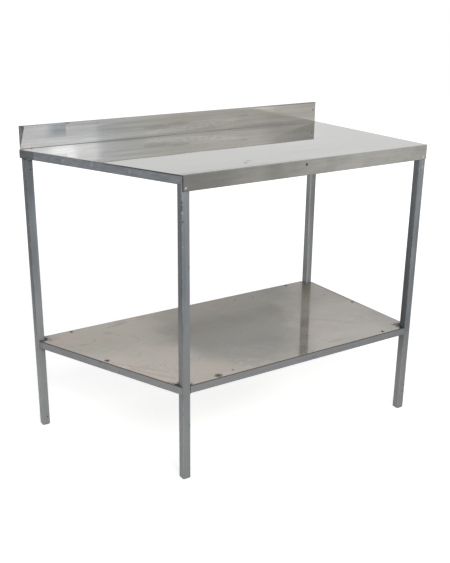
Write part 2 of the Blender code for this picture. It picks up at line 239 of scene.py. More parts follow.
def toned(colour, mask, tone):
    """A colour made darker or lighter by a tone where a mask is one."""
    return shaded(colour, blend(mask, 1.0, tone))


def dyed(colour, mask, dye):
    """A colour multiplied by a dye where a mask is one."""
    return tint(mask, colour, vectors("MULTIPLY", colour, dye))


print("node helpers: sums, largest, vectors, split, fade, blend, within, tint, shaded, toned, dyed")

# %% [markdown]
# ## Floor, world and lamps
# The bench stands on a plain white floor in soft light. A white floor under strong lamps would do it,
# but the lamps would then bleach the steel as well. So the floor and the world look white to the camera
# and to reflections through Light Path, and light the bench only at a plain level. Part of the floor's
# colour stays real, lit paint, and that part keeps the bench's shadow. One large soft lamp stands in
# front, as in the photograph, where left faces are dark. Four weak panels are there for their mirror
# image: they show as the pale left end of the upstand and the bright patch beside the fold.

# %% Floor and world
FLOOR_RADIUS = 9.0
FLOOR_SIDES = 96
FLOOR_LEVEL = -0.0002
FLOOR_COLOUR = (0.66, 0.66, 0.66, 1.0)
GLOW_REACH = (1.0, 3.5)
GLOW_LEVELS = (0.69, 1.00)
WHITE = (1.0, 1.0, 1.0, 1.0)
SKY_STRENGTH = 0.30


def new_finish(name):
    """A new material and its Object coordinates."""
    material = bpy.data.materials.new(name)
    material.use_nodes = True
    return material, value_of(material.node_tree, "TexCoord", None, "Object")


def dress(material, inputs):
    """The material, with inputs of its Principled shader set or linked."""
    for key, value in inputs.items():
        join(value, material.node_tree.nodes["Principled BSDF"].inputs[key])
    return material


def seen_directly(tree):
    """One for rays from the camera, from a mirror or through glass, and zero for scattered light."""
    path = add_node(tree, "LightPath").outputs
    seen = sums("ADD", Value(path["Is Camera Ray"]), Value(path["Is Glossy Ray"]), True)
    return sums("ADD", seen, Value(path["Is Transmission Ray"]), True)


def floor_finish():
    """Pale paint with a glow that only the camera and mirrors see, which tops it up to white."""
    material, place = new_finish("studio_floor")
    glow = fade(vectors("LENGTH", place), *GLOW_REACH, *GLOW_LEVELS)
    return dress(material, {
        "Base Color": FLOOR_COLOUR,
        "Roughness": 1.0,
        "Specular IOR Level": 0.0,
        "Emission Color": WHITE,
        "Emission Strength": seen_directly(place.tree) * glow,
    })


def full_turn(steps):
    """Angles in equal steps once round a circle."""
    return np.linspace(0, 2 * math.pi, steps, endpoint=False)


turn = full_turn(FLOOR_SIDES)
rim = np.stack([FLOOR_RADIUS * np.cos(turn), FLOOR_RADIUS * np.sin(turn), 0 * turn + FLOOR_LEVEL], axis=1)
floor_mesh = bpy.data.meshes.new("studio_floor")
floor_mesh.from_pydata(rim.tolist(), [], [list(range(FLOOR_SIDES))])
floor_mesh.materials.append(floor_finish())
floor = add_object("studio_floor", floor_mesh)

world = bpy.data.worlds.new("studio")
world.use_nodes = True
bpy.context.scene.world = world
sky = world.node_tree.nodes["Background"]
join(WHITE, sky.inputs["Color"])
join(blend(seen_directly(world.node_tree), SKY_STRENGTH, 1.0), sky.inputs["Strength"])
print("floor of", FLOOR_RADIUS, "m, sky at", SKY_STRENGTH)

# %% Lamps
BENCH_MIDDLE = Vector((0.0, 0.0, 0.55))
PANEL_Y = -3.0
PANEL_STEP = 0.02
PANELS = {
    "low_panel": ((0.45, 1.20), (1.00, 1.51), 0.48),
    "high_panel": ((0.45, 1.22), (1.51, 2.10), 0.90),
    "window": ((0.87, 1.05), (1.555, 1.80), 1.10),
    "wide_panel": ((0.45, 2.90), (1.51, 2.10), 0.33),
}


def add_lamp(name, place, aim, wide, tall, brightness, mirrored):
    """A rectangular lamp; its brightness is what it adds to the white that a mirror of it shows.

    A flat lamp that shines evenly in all directions gives pi times its area times that brightness.
    """
    data = bpy.data.lights.new(name, "AREA")
    data.shape = "RECTANGLE"
    data.size = wide
    data.size_y = tall
    data.energy = math.pi * wide * tall * brightness
    lamp = add_object(name, data)
    lamp.location = place
    lamp.rotation_euler = (aim - Vector(place)).to_track_quat("-Z", "Y").to_euler()
    lamp.visible_glossy = mirrored
    print(name, "of %.1f watts" % data.energy)


add_lamp("front_softbox", (-1.0, -3.5, 2.7), BENCH_MIDDLE, 2.4, 2.0, 8.0, False)
add_lamp("right_softbox", (3.4, 0.9, 2.6), BENCH_MIDDLE, 1.6, 1.6, 3.4, False)
for number, (name, (x_span, z_span, brightness)) in enumerate(PANELS.items()):
    place = Vector((sum(x_span) / 2, PANEL_Y - number * PANEL_STEP, sum(z_span) / 2))
    ahead = place + Vector((0.0, 1.0, 0.0))
    add_lamp(name, place, ahead, x_span[1] - x_span[0], z_span[1] - z_span[0], brightness, True)

# %% [markdown]
# ## Wear that several finishes share
# Old steel is never one colour. It has cloudy patches, streaks along the way it was rubbed, spots where
# something dripped, and edges that are worn or chipped. Each of these is written once, as a recipe for a
# mask. The line above a recipe makes it a node group with named sockets, and the recipe's name then
# stands for one use of that group, where each finish sets its own sizes and strengths.

# %% Shared wear groups
ORIGIN = (0.0, 0.0, 0.0)


def wear_group(**defaults):
    """Makes a node group of a recipe, a function of Values that returns a mask.

    The group has a Vector and the given inputs with their defaults. In place of the recipe comes a
    function that uses the group at a place, with values for its first inputs in their order.
    """
    labels = [name.replace("_", " ").title() for name in defaults]

    def build(recipe):
        group = bpy.data.node_groups.new(recipe.__name__, "ShaderNodeTree")
        for label, default in zip(["Vector", *labels], [ORIGIN, *defaults.values()]):
            kind = "NodeSocketFloat" if isinstance(default, float) else "NodeSocketVector"
            socket = group.interface.new_socket(label, in_out="INPUT", socket_type=kind)
            socket.default_value = default
        group.interface.new_socket("Mask", in_out="OUTPUT", socket_type="NodeSocketFloat")
        entry = group.nodes.new("NodeGroupInput")
        leave = group.nodes.new("NodeGroupOutput")
        mask = recipe(*[Value(entry.outputs[label]) for label in ["Vector", *labels]])
        join(mask, leave.inputs["Mask"])

        def use(place, *values):
            inputs = {"Vector": place, **dict(zip(labels, values))}
            return value_of(place.tree, "Group", inputs, "Mask", node_tree=group)

        return use

    return build


def noise(place, scale, detail):
    """Smooth noise, about a half on average."""
    return value_of(place.tree, "TexNoise", {"Vector": place, "Scale": scale, "Detail": detail})


def ragged_rim(place, away, radius, ragged, solid):
    """One inside the solid share of the radius, zero outside the radius, and uneven with noise."""
    rough = (noise(place, 160.0, 2.0) - 0.5) * (radius * ragged)
    return 1.0 - fade(away + rough, radius * solid, radius)


@wear_group(per_metre=(30.0, 30.0, 30.0), low=0.35, high=0.65)
def mottle(place, per_metre, low, high):
    """Cloudy patches: smooth noise, drawn out along each axis, cut softly between two levels."""
    return fade(noise(vectors("MULTIPLY", place, per_metre), 1.0, 3.0), low, high)


@wear_group(centre=ORIGIN, radius=0.01, ragged=0.5)
def spot(place, centre, radius, ragged):
    """A mark round a centre, with a ragged rim."""
    return ragged_rim(place, vectors("DISTANCE", place, centre), radius, ragged, 0.5)


@wear_group(start=ORIGIN, end=(0.1, 0.0, 0.0), radius=0.01, ragged=0.8)
def streak(place, start, end, radius, ragged):
    """A soft mark drawn out between two points, half as wide at both ends.

    Each place is measured from the nearest point of the line between them. The distance counts double
    at the ends, as one plus the square of a number that runs from -1 to 1 along the line.
    """
    run = vectors("SUBTRACT", end, start)
    offset = vectors("SUBTRACT", place, start)
    share = sums("DIVIDE", vectors("DOT_PRODUCT", offset, run), vectors("DOT_PRODUCT", run, run), True)
    away = vectors("DISTANCE", offset, shaded(run, share))
    from_middle = share * 2.0 - 1.0
    return ragged_rim(place, away * (from_middle * from_middle + 1.0), radius, ragged, 0.1)


@wear_group(edge=0.0, amount=0.5)
def worn_edge(place, edge, amount):
    """Bare or chipped edges: the piece's own edge mark, broken up by fine noise."""
    return fade((noise(place, 70.0, 4.0) + amount) * edge, 0.62, 0.9)


@wear_group(per_metre=60.0, share=0.2)
def specks(place, per_metre, share):
    """Scattered specks: cells of a Voronoi pattern, of which only a share holds a small dot."""
    cells = add_node(place.tree, "TexVoronoi", {"Vector": place, "Scale": per_metre}).outputs
    dot = 1.0 - fade(Value(cells["Distance"]), 0.10, 0.30)
    luck = value_of(place.tree, "SeparateColor", {0: Value(cells["Color"])})
    return dot * sums("LESS_THAN", luck, share)


print("wear groups:", ", ".join(bpy.data.node_groups.keys()))

# %% [markdown]
# ## Finish of the frame
# The frame is mild steel tube in a thin blue-grey coat that has gone blotchy. Its arrises are rubbed
# lighter, dark chips sit along them, and the colour turns a neutral grey towards the floor. A single
# grey would look like plastic, so the coat is mixed from two greys, streaked along each tube. Light and
# shade are painted into the coat as well: painted tones by height, painted shade on faces that look left
# and in the groove under each sheet's edge, and a rear right leg painted much paler, with painted
# highlights on its arrises.

# %% Frame finish
PAINT_DARK = (0.150, 0.164, 0.180, 1.0)
PAINT_LIGHT = (0.228, 0.246, 0.262, 1.0)
PAINT_LOW = (0.235, 0.236, 0.236, 1.0)
PAINT_WORN = (0.330, 0.345, 0.355, 1.0)
PAINT_CHIP = (0.040, 0.038, 0.036, 1.0)
DARK_SHADE_AND_DIRT = (0.030, 0.026, 0.020, 1.0)
REAR_LEFT_LIGHT_TONES = (1.08, 1.40)
REAR_LEFT_TOP_SHADE = 0.55
REAR_RIGHT_LIGHT_TONES = (1.45, 2.25)
REAR_RIGHT_LEFT_LIGHT = (1.02, 1.28)
REAR_RIGHT_ARRIS_HIGHLIGHT = 1.9
HIGHLIGHT_STRIPE = (0.5240, 0.5260, 0.5310, 0.5340)
HIGHLIGHT_STRIPE_TONE = 1.22
FAR_SIDE_SHADE = 0.86
GROOVE_DEPTH = 0.0030


def piece_mark(place, name):
    """One of the piece's own marks: "edge" is one on arrises and rims, "left" where a face looks left."""
    return value_of(place.tree, "Attribute", None, "Fac", attribute_name=name)


def bumped(height, strength, distance):
    """A normal tilted by the slope of a height."""
    return value_of(height.tree, "Bump", {"Strength": strength, "Distance": distance, "Height": height})


def frame_finish(name, streaks, painted_tones, left_painted_tones, grooved, marks):
    """Blotchy grey coat; streaks says how many per metre there are along X, Y and Z.

    The painted tones are painted light and shade: how pale the coat is at half height and at the top. The
    left painted tones are painted light and shade on the faces that look left, low down and higher up. A
    grooved tube has a painted shade line along its upper arris, where a sheet lies on it. Marks are single
    chips and rubbed spots, each with its centre, radius and colour.
    """
    material, place = new_finish(name)
    along, across, height = split(place)
    cloud = mottle(place, (11.0, 11.0, 8.0))
    body = cloud * 0.4 + mottle(place, streaks, 0.3, 0.7) * 0.6
    colour = tint(body, PAINT_DARK, PAINT_LIGHT)
    rear_right = fade(along, 0.0, 0.4) * fade(across, 0.0, 0.2)
    low_down = fade(height, 0.50, 0.40) * fade(along, 0.0, 0.5, 1.0, 0.3)
    low_down = largest(low_down, fade(height, 0.30, 0.27))
    colour = tint(largest(low_down, rear_right) * 0.75, colour, PAINT_LOW)
    # Painted light and shade by height: darker at half height, paler at the top and near the floor.
    above_shelf = fade(height, 0.50, 0.38, 1.0, fade(along, 0.0, 0.5, 1.05, 0.95))
    low_tone = above_shelf * fade(height, 0.30, 0.10, 1.0, 1.17)
    colour = shaded(colour, fade(height, 0.60, 0.84, *painted_tones) * low_tone)
    # Painted light: the rear right leg is painted paler, more so towards its top.
    colour = toned(colour, rear_right, fade(height, 0.55, 0.80, *REAR_RIGHT_LIGHT_TONES))

    # Painted light and shade on faces that look left: paler low down and darker higher up, darker still on
    # the rear left leg, and paler on the rear right leg.
    raised = height + fade(along, -0.30, 0.50, 0.0, 0.27)
    rear_left = fade(along, -0.45, -0.50) * fade(across, 0.20, 0.24)
    left_tone = fade(raised, 0.42, 0.60, *left_painted_tones) * fade(rear_left * raised, 0.22, 0.42, 1.0, 0.5)
    rear_right_left = fade(height, 0.34, 0.46, *REAR_RIGHT_LEFT_LIGHT)
    left_tone = value_of(place.tree, "Mix", {0: rear_right, 2: left_tone, 3: rear_right_left})
    looks_left = piece_mark(place, "left")
    colour = shaded(colour, looks_left * (left_tone - 1.0) + 1.0)
    # Painted light and shade on the rear left leg: paler up to half height, darker at the top and at the
    # foot.
    if not grooved:
        rear_left_tone = fade(height, 0.70, 0.34, *REAR_LEFT_LIGHT_TONES)
        rear_left_tone = rear_left_tone * fade(height, 0.72, 0.82, 1.0, REAR_LEFT_TOP_SHADE)
        colour = toned(colour, rear_left, rear_left_tone * fade(height, 0.30, 0.27, 1.0, 0.85))

    edge = piece_mark(place, "edge")
    colour = tint(worn_edge(place, edge, 0.30) * 0.5, colour, PAINT_WORN)
    # Painted highlight on the rear right leg's arrises and in a pale stripe on its front, and painted shade
    # on its far side.
    colour = toned(colour, fade(edge, 0.3, 1.0) * rear_right, REAR_RIGHT_ARRIS_HIGHLIGHT)
    stripe = within(along, HIGHLIGHT_STRIPE) * rear_right * (1.0 - looks_left)
    colour = toned(colour, stripe, HIGHLIGHT_STRIPE_TONE)
    colour = toned(colour, fade(along, 0.535, 0.545) * rear_right, FAR_SIDE_SHADE)
    chips = specks(place, 70.0, 0.05) * (1.0 - rear_right)
    nicks = specks(place, 130.0, 0.22) * edge
    colour = tint(largest(chips, nicks) * 0.8, colour, PAINT_CHIP)
    rubbed_line = fade(edge, 0.75, 1.0) * fade(height, 0.54, 0.46) * fade(height, 0.22, 0.28)
    colour = tint(rubbed_line * blend(cloud, 0.4, 0.8), colour, PAINT_CHIP)
    by_floor = specks(place, 210.0, 0.55) * fade(height, 0.032, 0.016)
    colour = tint(largest(specks(place, 110.0, 0.04), by_floor) * 0.6, colour, PAINT_WORN)
    for centre, radius, mark_colour in marks:
        colour = tint(spot(place, centre, radius, 0.8) * 0.7, colour, mark_colour)
    # Painted shade: a dark line along the rail's upper arris, in the groove under the edge of the sheet that
    # lies on it.
    if grooved:
        by_top, by_shelf = (fade(height, top - GROOVE_DEPTH, top - GROOVE_DEPTH * 0.4)
                            for top in (RAIL_TOP, SHELF_RAIL_TOP))
        by_top = by_top * fade(along, -0.46, -0.38)
        by_shelf = by_shelf * fade(height, SHELF_HEIGHT, SHELF_RAIL_TOP)
        colour = tint(largest(by_top, by_shelf) * 0.85, colour, DARK_SHADE_AND_DIRT)
    return dress(material, {
        "Base Color": colour,
        "Roughness": blend(body, 0.52, 0.40),
        "Specular IOR Level": 0.35,
        "Normal": bumped(noise(place, 900.0, 2.0), 0.12, 0.0004),
    })


def left_rail_mark(y, z, radius):
    """A ground patch on the outer face of the angled rail."""
    return (slanted_x(y), y, z), radius, PAINT_WORN


def leg_mark(in_from_left, z, radius, colour):
    """A mark on the front of the front left leg, so far in from its left arris."""
    return (X_FRONT_LEFT + in_from_left, Y_LEG_FRONT + 0.0004, z), radius, colour


GROUND_PATCHES = [
    left_rail_mark(0.109, 0.887, 0.007),
    left_rail_mark(0.007, 0.889, 0.009),
    left_rail_mark(-0.119, 0.887, 0.007),
]
LEG_MARKS = [
    leg_mark(0.0004, 0.8265, 0.0050, PAINT_CHIP),
    leg_mark(0.0004, 0.8165, 0.0060, PAINT_CHIP),
    leg_mark(0.0004, 0.8090, 0.0045, PAINT_CHIP),
    leg_mark(0.0010, 0.7990, 0.0045, PAINT_WORN),
    leg_mark(0.0030, 0.7760, 0.0040, PAINT_CHIP),
    leg_mark(0.8617, 0.8313, 0.0060, PAINT_WORN),
]
LEG_PAINT = frame_finish(
    "leg_paint", (120.0, 120.0, 5.0), (0.84, 1.10), (1.36, 0.72), False, LEG_MARKS)
CROSS_RAIL_PAINT = frame_finish(
    "cross_rail_paint", (5.0, 120.0, 120.0), (0.88, 1.0), (1.0, 1.0), True, [])
END_RAIL_PAINT = frame_finish(
    "end_rail_paint", (90.0, 6.0, 120.0), (0.88, 1.0), (1.40, 1.12), True, GROUND_PATCHES)
print("frame finishes:", LEG_PAINT.name, CROSS_RAIL_PAINT.name, END_RAIL_PAINT.name)

# %% [markdown]
# ## Finish of the worktop
# The worktop is bright stainless sheet, polished along its length. It works as a slightly dull mirror:
# the flat shows the white surroundings, and beside the fold it shows the upstand. Streaks along X,
# smears, a few smudges and a dark line of dirt in the fold keep it from looking new. Reflection and
# shade are also painted into its colour: on the flat and the upstand, as a highlight along the front
# bend and as shade along the sheet's edges, and in a dark line behind the bend, partly dirt and partly
# painted shade. The apron is rougher, and its colour is painted darker as a painted reflection, most of
# all at its left end.

# %% Worktop finish
STEEL = (0.405, 0.403, 0.394)
UPSTAND_STEEL = (0.495, 0.480, 0.430, 1.0)
UPSTAND_LEFT_END = (0.535, 0.540, 0.540, 1.0)
STEEL_SMEAR = (0.300, 0.296, 0.282, 1.0)
COLD_SMEAR = (0.290, 0.325, 0.345, 1.0)
RUBBED_AND_HIGHLIGHT_STEEL = (0.720, 0.715, 0.690, 1.0)
APRON_LEFT = (0.136, 0.134, 0.124, 1.0)
APRON_MIDDLE = (0.210, 0.205, 0.188, 1.0)
APRON_RIGHT = (0.285, 0.278, 0.255, 1.0)
DIRT = (0.140, 0.110, 0.080, 1.0)
FOLD_RUST = (0.340, 0.200, 0.120, 1.0)
FOLD_RUST_SPOTS = {(-0.537, 0.262): 0.011, (-0.510, 0.265): 0.008}
DARK_EDGE_AND_SHADE = (0.070, 0.064, 0.056, 1.0)
TOP_SMUDGES = [
    ((-0.072, -0.209), (-0.062, -0.211), 0.0170),
    ((-0.096, -0.238), (-0.084, -0.222), 0.0150),
]
COLD_PATCH_X = (-0.475, -0.430, -0.403, -0.399)
COLD_PATCH_Z = (0.918, 0.945, 0.962, 0.970)
NICK_X = (-0.412, -0.405, -0.392, -0.385)
UPSTAND_SMEARS = {
    (-0.355, 0.957): (0.060, 0.012),
    (-0.090, 0.929): (0.045, 0.010),
    (-0.010, 0.934): (0.035, 0.009),
    (0.243, 0.941): (0.016, 0.007),
    (0.300, 0.907): (0.100, 0.006),
}
UPSTAND_RUB = ((-0.240, 0.9070), (0.100, 0.0025))
UPPER_RIGHT_SLOPE = 0.21
UPPER_RIGHT_LINE = (1.013, 1.027)
BRIGHT_PATCH_LEFT = 1.377
BRIGHT_PATCH_RIGHT = 0.80
BRIGHT_PATCH_TONE = 1.14
FOLD_SHADOW = (-0.05, 0.20, 0.32, 0.50)
FOLD_SHADOW_TONE = 0.84
COLD_SHADE_X = (-0.40, -0.20, -0.18, 0.05)
COLD_SHADE = (0.775, 0.80, 0.815)
SCRUBBED_X = (-0.16, -0.11, 0.19, 0.24)
SCRUBBED_SLOPE = -0.045
SCRUBBED_Z = (0.908, 0.913, 0.921, 0.927)
EMPTY_HOLE = (X_RIGHT - 0.4675, Y_FRONT, RAIL_TOP - TUBE / 2)
APRON_SHADOW = -0.0255
APRON_SHADOW_REACH = 0.060
FOLD_GRIME = 0.0018
DIRT_AND_SHADE_LINE = (0.008, 0.012, 0.015, 0.020)


def flat_colour(along, across):
    """The flat: darker to the right, a painted bright patch, painted shade by the fold and at the left."""
    flat = shaded(STEEL, fade(along, 0.25, 0.50, 1.0, 0.92))
    from_left = along - across * BRIGHT_PATCH_LEFT
    from_right = along - across * BRIGHT_PATCH_RIGHT
    bright = fade(from_left, 0.02, 0.22) * fade(from_right, 0.43, 0.25) * fade(across, -0.14, 0.04)
    flat = toned(flat, bright, BRIGHT_PATCH_TONE)
    flat = toned(flat, fade(across, 0.06, 0.24) * within(along, FOLD_SHADOW), FOLD_SHADOW_TONE)
    return dyed(flat, fade(across, -0.08, 0.12) * within(along, COLD_SHADE_X), COLD_SHADE)


def wall_colour(along, height):
    """Upstand in painted reflection: pale and cold at the left, darker at the right, painted shade at its
    top.
    """
    wall = tint(fade(along, -0.02, -0.30), UPSTAND_STEEL, UPSTAND_LEFT_END)
    wall = shaded(wall, fade(along, 0.29, 0.38, 1.0, 0.85))
    upper_right = fade(height + along * UPPER_RIGHT_SLOPE, *UPPER_RIGHT_LINE) * fade(along, 0.34, 0.40)
    wall = toned(wall, upper_right, fade(along, 0.38, 0.52, 0.86, 0.78))
    # Painted shade along the top bend of the upstand.
    wall = shaded(wall, fade(height, UPSTAND_TOP - 0.0035, UPSTAND_TOP - 0.0015, 1.0, 0.6))
    nick = within(along, NICK_X) * fade(height, UPSTAND_TOP - 0.006, UPSTAND_TOP - 0.003)
    return tint(nick * 0.6, wall, DARK_EDGE_AND_SHADE)


def apron_colour(place, along):
    """Painted reflection on dull steel: dark at the left, paler to the right, soft bands, a painted shadow.
    """
    left_end = fade(along, X_FRONT_LEFT + 0.06, X_FRONT_LEFT + 0.20)
    colour = tint(left_end, APRON_LEFT, APRON_MIDDLE)
    colour = tint(fade(along, -0.05, 0.30), colour, APRON_RIGHT)
    colour = shaded(colour, blend(mottle(place, (14.0, 1.0, 18.0), 0.3, 0.7), 0.92, 1.08))
    colour = shaded(colour, blend(mottle(place, (12.0, 1.0, 420.0), 0.3, 0.7), 0.95, 1.05))
    colour = shaded(colour, fade(abs(along - APRON_SHADOW), 0.0, APRON_SHADOW_REACH, 0.80, 1.0))
    # Painted shade along the apron's left end.
    by_left_edge = fade(along, X_FRONT_LEFT + 0.0065, X_FRONT_LEFT + 0.0035)
    return tint(by_left_edge * 0.9, colour, DARK_SHADE_AND_DIRT)


def upstand_mark(place, centre, half_sizes):
    """A streak along X on the upstand, given by its X and Z and by half its length and height."""
    x, z = centre
    half_length, half_height = half_sizes
    start, end = ((x + reach, Y_REAR - TOP_SHEET, z) for reach in (-half_length, half_length))
    return streak(place, start, end, half_height, 1.4)


def worktop_finish():
    """Polished steel: streaks, smears, smudges, fold dirt, painted reflection and shade, a dulled apron."""
    material, place = new_finish("worktop_steel")
    along, across, height = split(place)
    polish = mottle(place, (2.2, 150.0, 150.0), 0.3, 0.7)
    smear = mottle(place, (6.0, 22.0, 110.0), 0.42, 0.72)
    upright = fade(height, WORKTOP_HEIGHT + 0.001, WORKTOP_HEIGHT + 0.004)
    colour = tint(upright, flat_colour(along, across), wall_colour(along, height))
    colour = tint(blend(upright, 0.10, 0.28) * smear, colour, STEEL_SMEAR)
    colour = shaded(colour, blend(polish, 0.93, 1.04))
    for centre, half_sizes in UPSTAND_SMEARS.items():
        colour = tint(upstand_mark(place, centre, half_sizes) * 0.45, colour, STEEL_SMEAR)
    colour = tint(upstand_mark(place, *UPSTAND_RUB) * 0.25, colour, RUBBED_AND_HIGHLIGHT_STEEL)
    cold = within(along, COLD_PATCH_X) * within(height, COLD_PATCH_Z)
    colour = tint(cold * blend(polish, 1.0, 0.75), colour, COLD_SMEAR)
    # Pale streaks above the fold, partly rubs and partly painted highlight.
    scrubbed = mottle(place, (60.0, 1.0, 260.0), 0.28, 0.64) * within(along, SCRUBBED_X)
    scrubbed = scrubbed * within(height + along * SCRUBBED_SLOPE, SCRUBBED_Z)
    colour = tint(scrubbed * 0.40, colour, RUBBED_AND_HIGHLIGHT_STEEL)

    # A dark line behind the front bend, partly dirt and partly painted shade.
    patchy = mottle(place, (26.0, 90.0, 30.0), 0.32, 0.68)
    behind_bend = within(across - Y_FRONT, DIRT_AND_SHADE_LINE) * blend(patchy, 0.3, 1.0)
    behind_bend = behind_bend * fade(along, 0.16, 0.04) * fade(along, -0.20, -0.30, 0.6, 0.85)
    colour = tint(behind_bend, colour, DARK_EDGE_AND_SHADE)
    front = fade(across, Y_FRONT + 0.0030, Y_FRONT + 0.0012)
    colour = tint(front, colour, apron_colour(place, along))
    roughness = blend(polish, 0.025, 0.045) + upright * fade(along, 0.25, 0.42, 0.03, 0.10)
    roughness = roughness + front * 0.20
    # Painted highlight along the front bend.
    bend_highlight = fade(across, Y_FRONT + 0.004, Y_FRONT + 0.001)
    bend_highlight = bend_highlight * fade(height, WORKTOP_HEIGHT - 0.003, WORKTOP_HEIGHT - 0.001)
    colour = tint(bend_highlight * 0.25, colour, RUBBED_AND_HIGHLIGHT_STEEL)
    # A dark ring round the empty hole.
    colour = tint(spot(place, EMPTY_HOLE, 0.0055, 0.5) * 0.85, colour, DARK_SHADE_AND_DIRT)
    for start, end, radius in TOP_SMUDGES:
        smudge = streak(place, (*start, WORKTOP_HEIGHT), (*end, WORKTOP_HEIGHT), radius)
        colour = tint(smudge * 0.80, colour, STEEL_SMEAR)
        roughness = roughness + smudge * 0.25
    for (x, y), radius in FOLD_RUST_SPOTS.items():
        colour = tint(spot(place, (x, y, WORKTOP_HEIGHT), radius, 1.6) * 0.7, colour, FOLD_RUST)

    section = value_of(place.tree, "CombineXYZ", {1: across, 2: height})
    from_fold = vectors("DISTANCE", section, (0.0, Y_REAR - TOP_SHEET, WORKTOP_HEIGHT))
    dashes = mottle(place, (70.0, 30.0, 30.0), 0.48, 0.58)
    grime = fade(from_fold, FOLD_GRIME, FOLD_GRIME * 0.4) * blend(dashes, 0.7, 1.0)
    colour = tint(grime * fade(along, 0.20, -0.20, 0.25, 0.36), colour, DIRT)
    # Painted shade: the sheet's raw edges are painted dark, less so at the very left end.
    painted_edge_shade = piece_mark(place, "edge") * fade(along, -0.46, -0.38, 0.15, 0.9)
    scratch = mottle(place, (6.0, 900.0, 900.0), 0.3, 0.7)
    return dress(material, {
        "Base Color": tint(painted_edge_shade, colour, DARK_EDGE_AND_SHADE),
        "Roughness": roughness,
        "Metallic": 0.82,
        "Normal": bumped(scratch, 0.02, 0.00002),
    })


WORKTOP_STEEL = worktop_finish()
print("worktop finish:", WORKTOP_STEEL.name)

# %% [markdown]
# ## Finish of the shelf
# The shelf is the same kind of sheet, but dulled. Its middle is painted dark as a painted reflection, and
# is less glossy there, water has left brown tide marks along the front, and rust has run from the screws
# and from the corners round the legs. Painted shade darkens it where it meets the legs and rails. The
# dark middle is laid out on turned coordinates, because it runs askew.

# %% Shelf finish
SHELF_STEEL_PALE = (0.285, 0.268, 0.228, 1.0)
SHELF_DARK_REFLECTION = (0.134, 0.125, 0.102, 1.0)
SHELF_WARM = (0.300, 0.232, 0.190, 1.0)
SHELF_STAIN = (0.200, 0.140, 0.095, 1.0)
SHELF_TIDE = (0.390, 0.310, 0.230, 1.0)
SHELF_OLIVE = (0.265, 0.245, 0.160, 1.0)
STREAK_BROWN = (0.130, 0.092, 0.060, 1.0)
SHELF_PALE_END = (0.400, 0.385, 0.345, 1.0)
SHELF_RUST = (0.105, 0.080, 0.060, 1.0)
SHADE_BLACK = (0.022, 0.017, 0.013, 1.0)
YELLOWED = (0.86, 0.81, 0.74)
BROWNED = (0.55, 0.53, 0.44)
SHELF_MARKS = {(-0.139, -0.255): 0.006, (0.191, 0.230): 0.007, (0.259, 0.214): 0.006, (0.499, 0.104): 0.006}
SHELF_STAINS = {
    (-0.495, 0.243): 0.030,
    (-0.329, 0.189): 0.020,
    (-0.250, 0.253): 0.024,
    (-0.177, 0.250): 0.020,
    (-0.350, -0.103): 0.026,
    (0.410, -0.080): 0.024,
    (0.432, -0.166): 0.020,
}
RING_STAIN = ((-0.298, -0.118, SHELF_HEIGHT), 0.0085)
BROWN_STREAKS = [
    ((-0.427, -0.014), (-0.307, -0.170), 0.011),
    ((-0.389, -0.095), (-0.316, -0.214), 0.014),
    ((-0.310, 0.228), (-0.233, 0.242), 0.012),
    ((0.300, -0.054), (0.370, -0.106), 0.010),
    ((0.365, -0.100), (0.409, -0.162), 0.011),
    ((0.488, -0.057), (0.507, -0.092), 0.014),
    ((0.526, -0.214), (0.518, -0.236), 0.012),
    ((0.232, -0.242), (0.302, -0.247), 0.012),
]
CORNER_SHIFTS = {"rear_right": 0.012, "front_left": 0.007, "front_right": -0.005}
CORNER_SHADE_STREAK = ((slanted_x(-0.225) + 0.002, -0.225), (X_FRONT_LEFT - 0.001, -0.262), 0.0055)
SCREW_STAIN = 0.0070
WASHER_STAINS = {"shelf_screw_front_left": 0.0160, "shelf_screw_left": 0.0110}
DARK_MIDDLE_TURN = math.radians(33.0)
SCRATCH_TURNS = (8.0, -28.0, 64.0)
SHELF_SCREW_NAMES = [node for node in frame["nodes"] if node.startswith("shelf_screw_")]


def screw_centre(node):
    """Middle of a CAD fastener's box."""
    low, high = node_box(node)
    return (low + high) / 2


def turned(place, turn):
    """Coordinates turned about the upright axis."""
    return value_of(place.tree, "Mapping", {"Vector": place, "Rotation": (0.0, 0.0, turn)})


def shelf_dark_middle(place):
    """Mask of the painted dark reflection: soft on all sides, thinner at the back, on turned coordinates."""
    along, across, _ = split(place)
    u, v, _ = split(turned(place, DARK_MIDDLE_TURN))
    shift = (mottle(place, (6.0, 6.0, 6.0), 0.2, 0.8) - 0.5) * 0.08
    u = u + shift
    v = v + shift
    from_left = fade(u + v * 0.35, -0.32, -0.11)
    thickness = fade(across, 0.02, 0.22, 1.0, fade(along, -0.15, 0.05, 0.58, 0.72))
    return from_left * fade(u, 0.29, 0.14) * fade(v, -0.34, -0.06) * thickness


def shelf_rust(place):
    """Mask of the rust round the screws and at old marks."""
    rust = 0.0
    for node in SHELF_SCREW_NAMES:
        centre = (*screw_centre(node)[:2], SHELF_HEIGHT)
        stain = spot(place, centre, WASHER_STAINS.get(node, SCREW_STAIN), 0.7)
        rust = largest(rust, stain * (0.75 if node in WASHER_STAINS else 1.0))
    for (x, y), radius in SHELF_MARKS.items():
        rust = largest(rust, spot(place, (x, y, SHELF_HEIGHT), radius, 1.0) * 0.5)
    return rust


def near_legs(place, reach):
    """One at the legs and zero a ragged reach away, by the larger of the X and Y distances from a leg."""
    nearest = 1.0
    for corner in CORNERS:
        offset = vectors("SUBTRACT", place, tuple(leg_middle[corner]))
        x, y, _ = split(vectors("ABSOLUTE", offset))
        nearest = sums("MINIMUM", nearest, largest(x, y) + CORNER_SHIFTS.get(corner, 0.0))
    ragged = mottle(place, (130.0, 130.0, 130.0), 0.2, 0.8)
    return fade(nearest - TUBE / 2 + ragged * (reach * 0.7), reach, reach * 0.4)


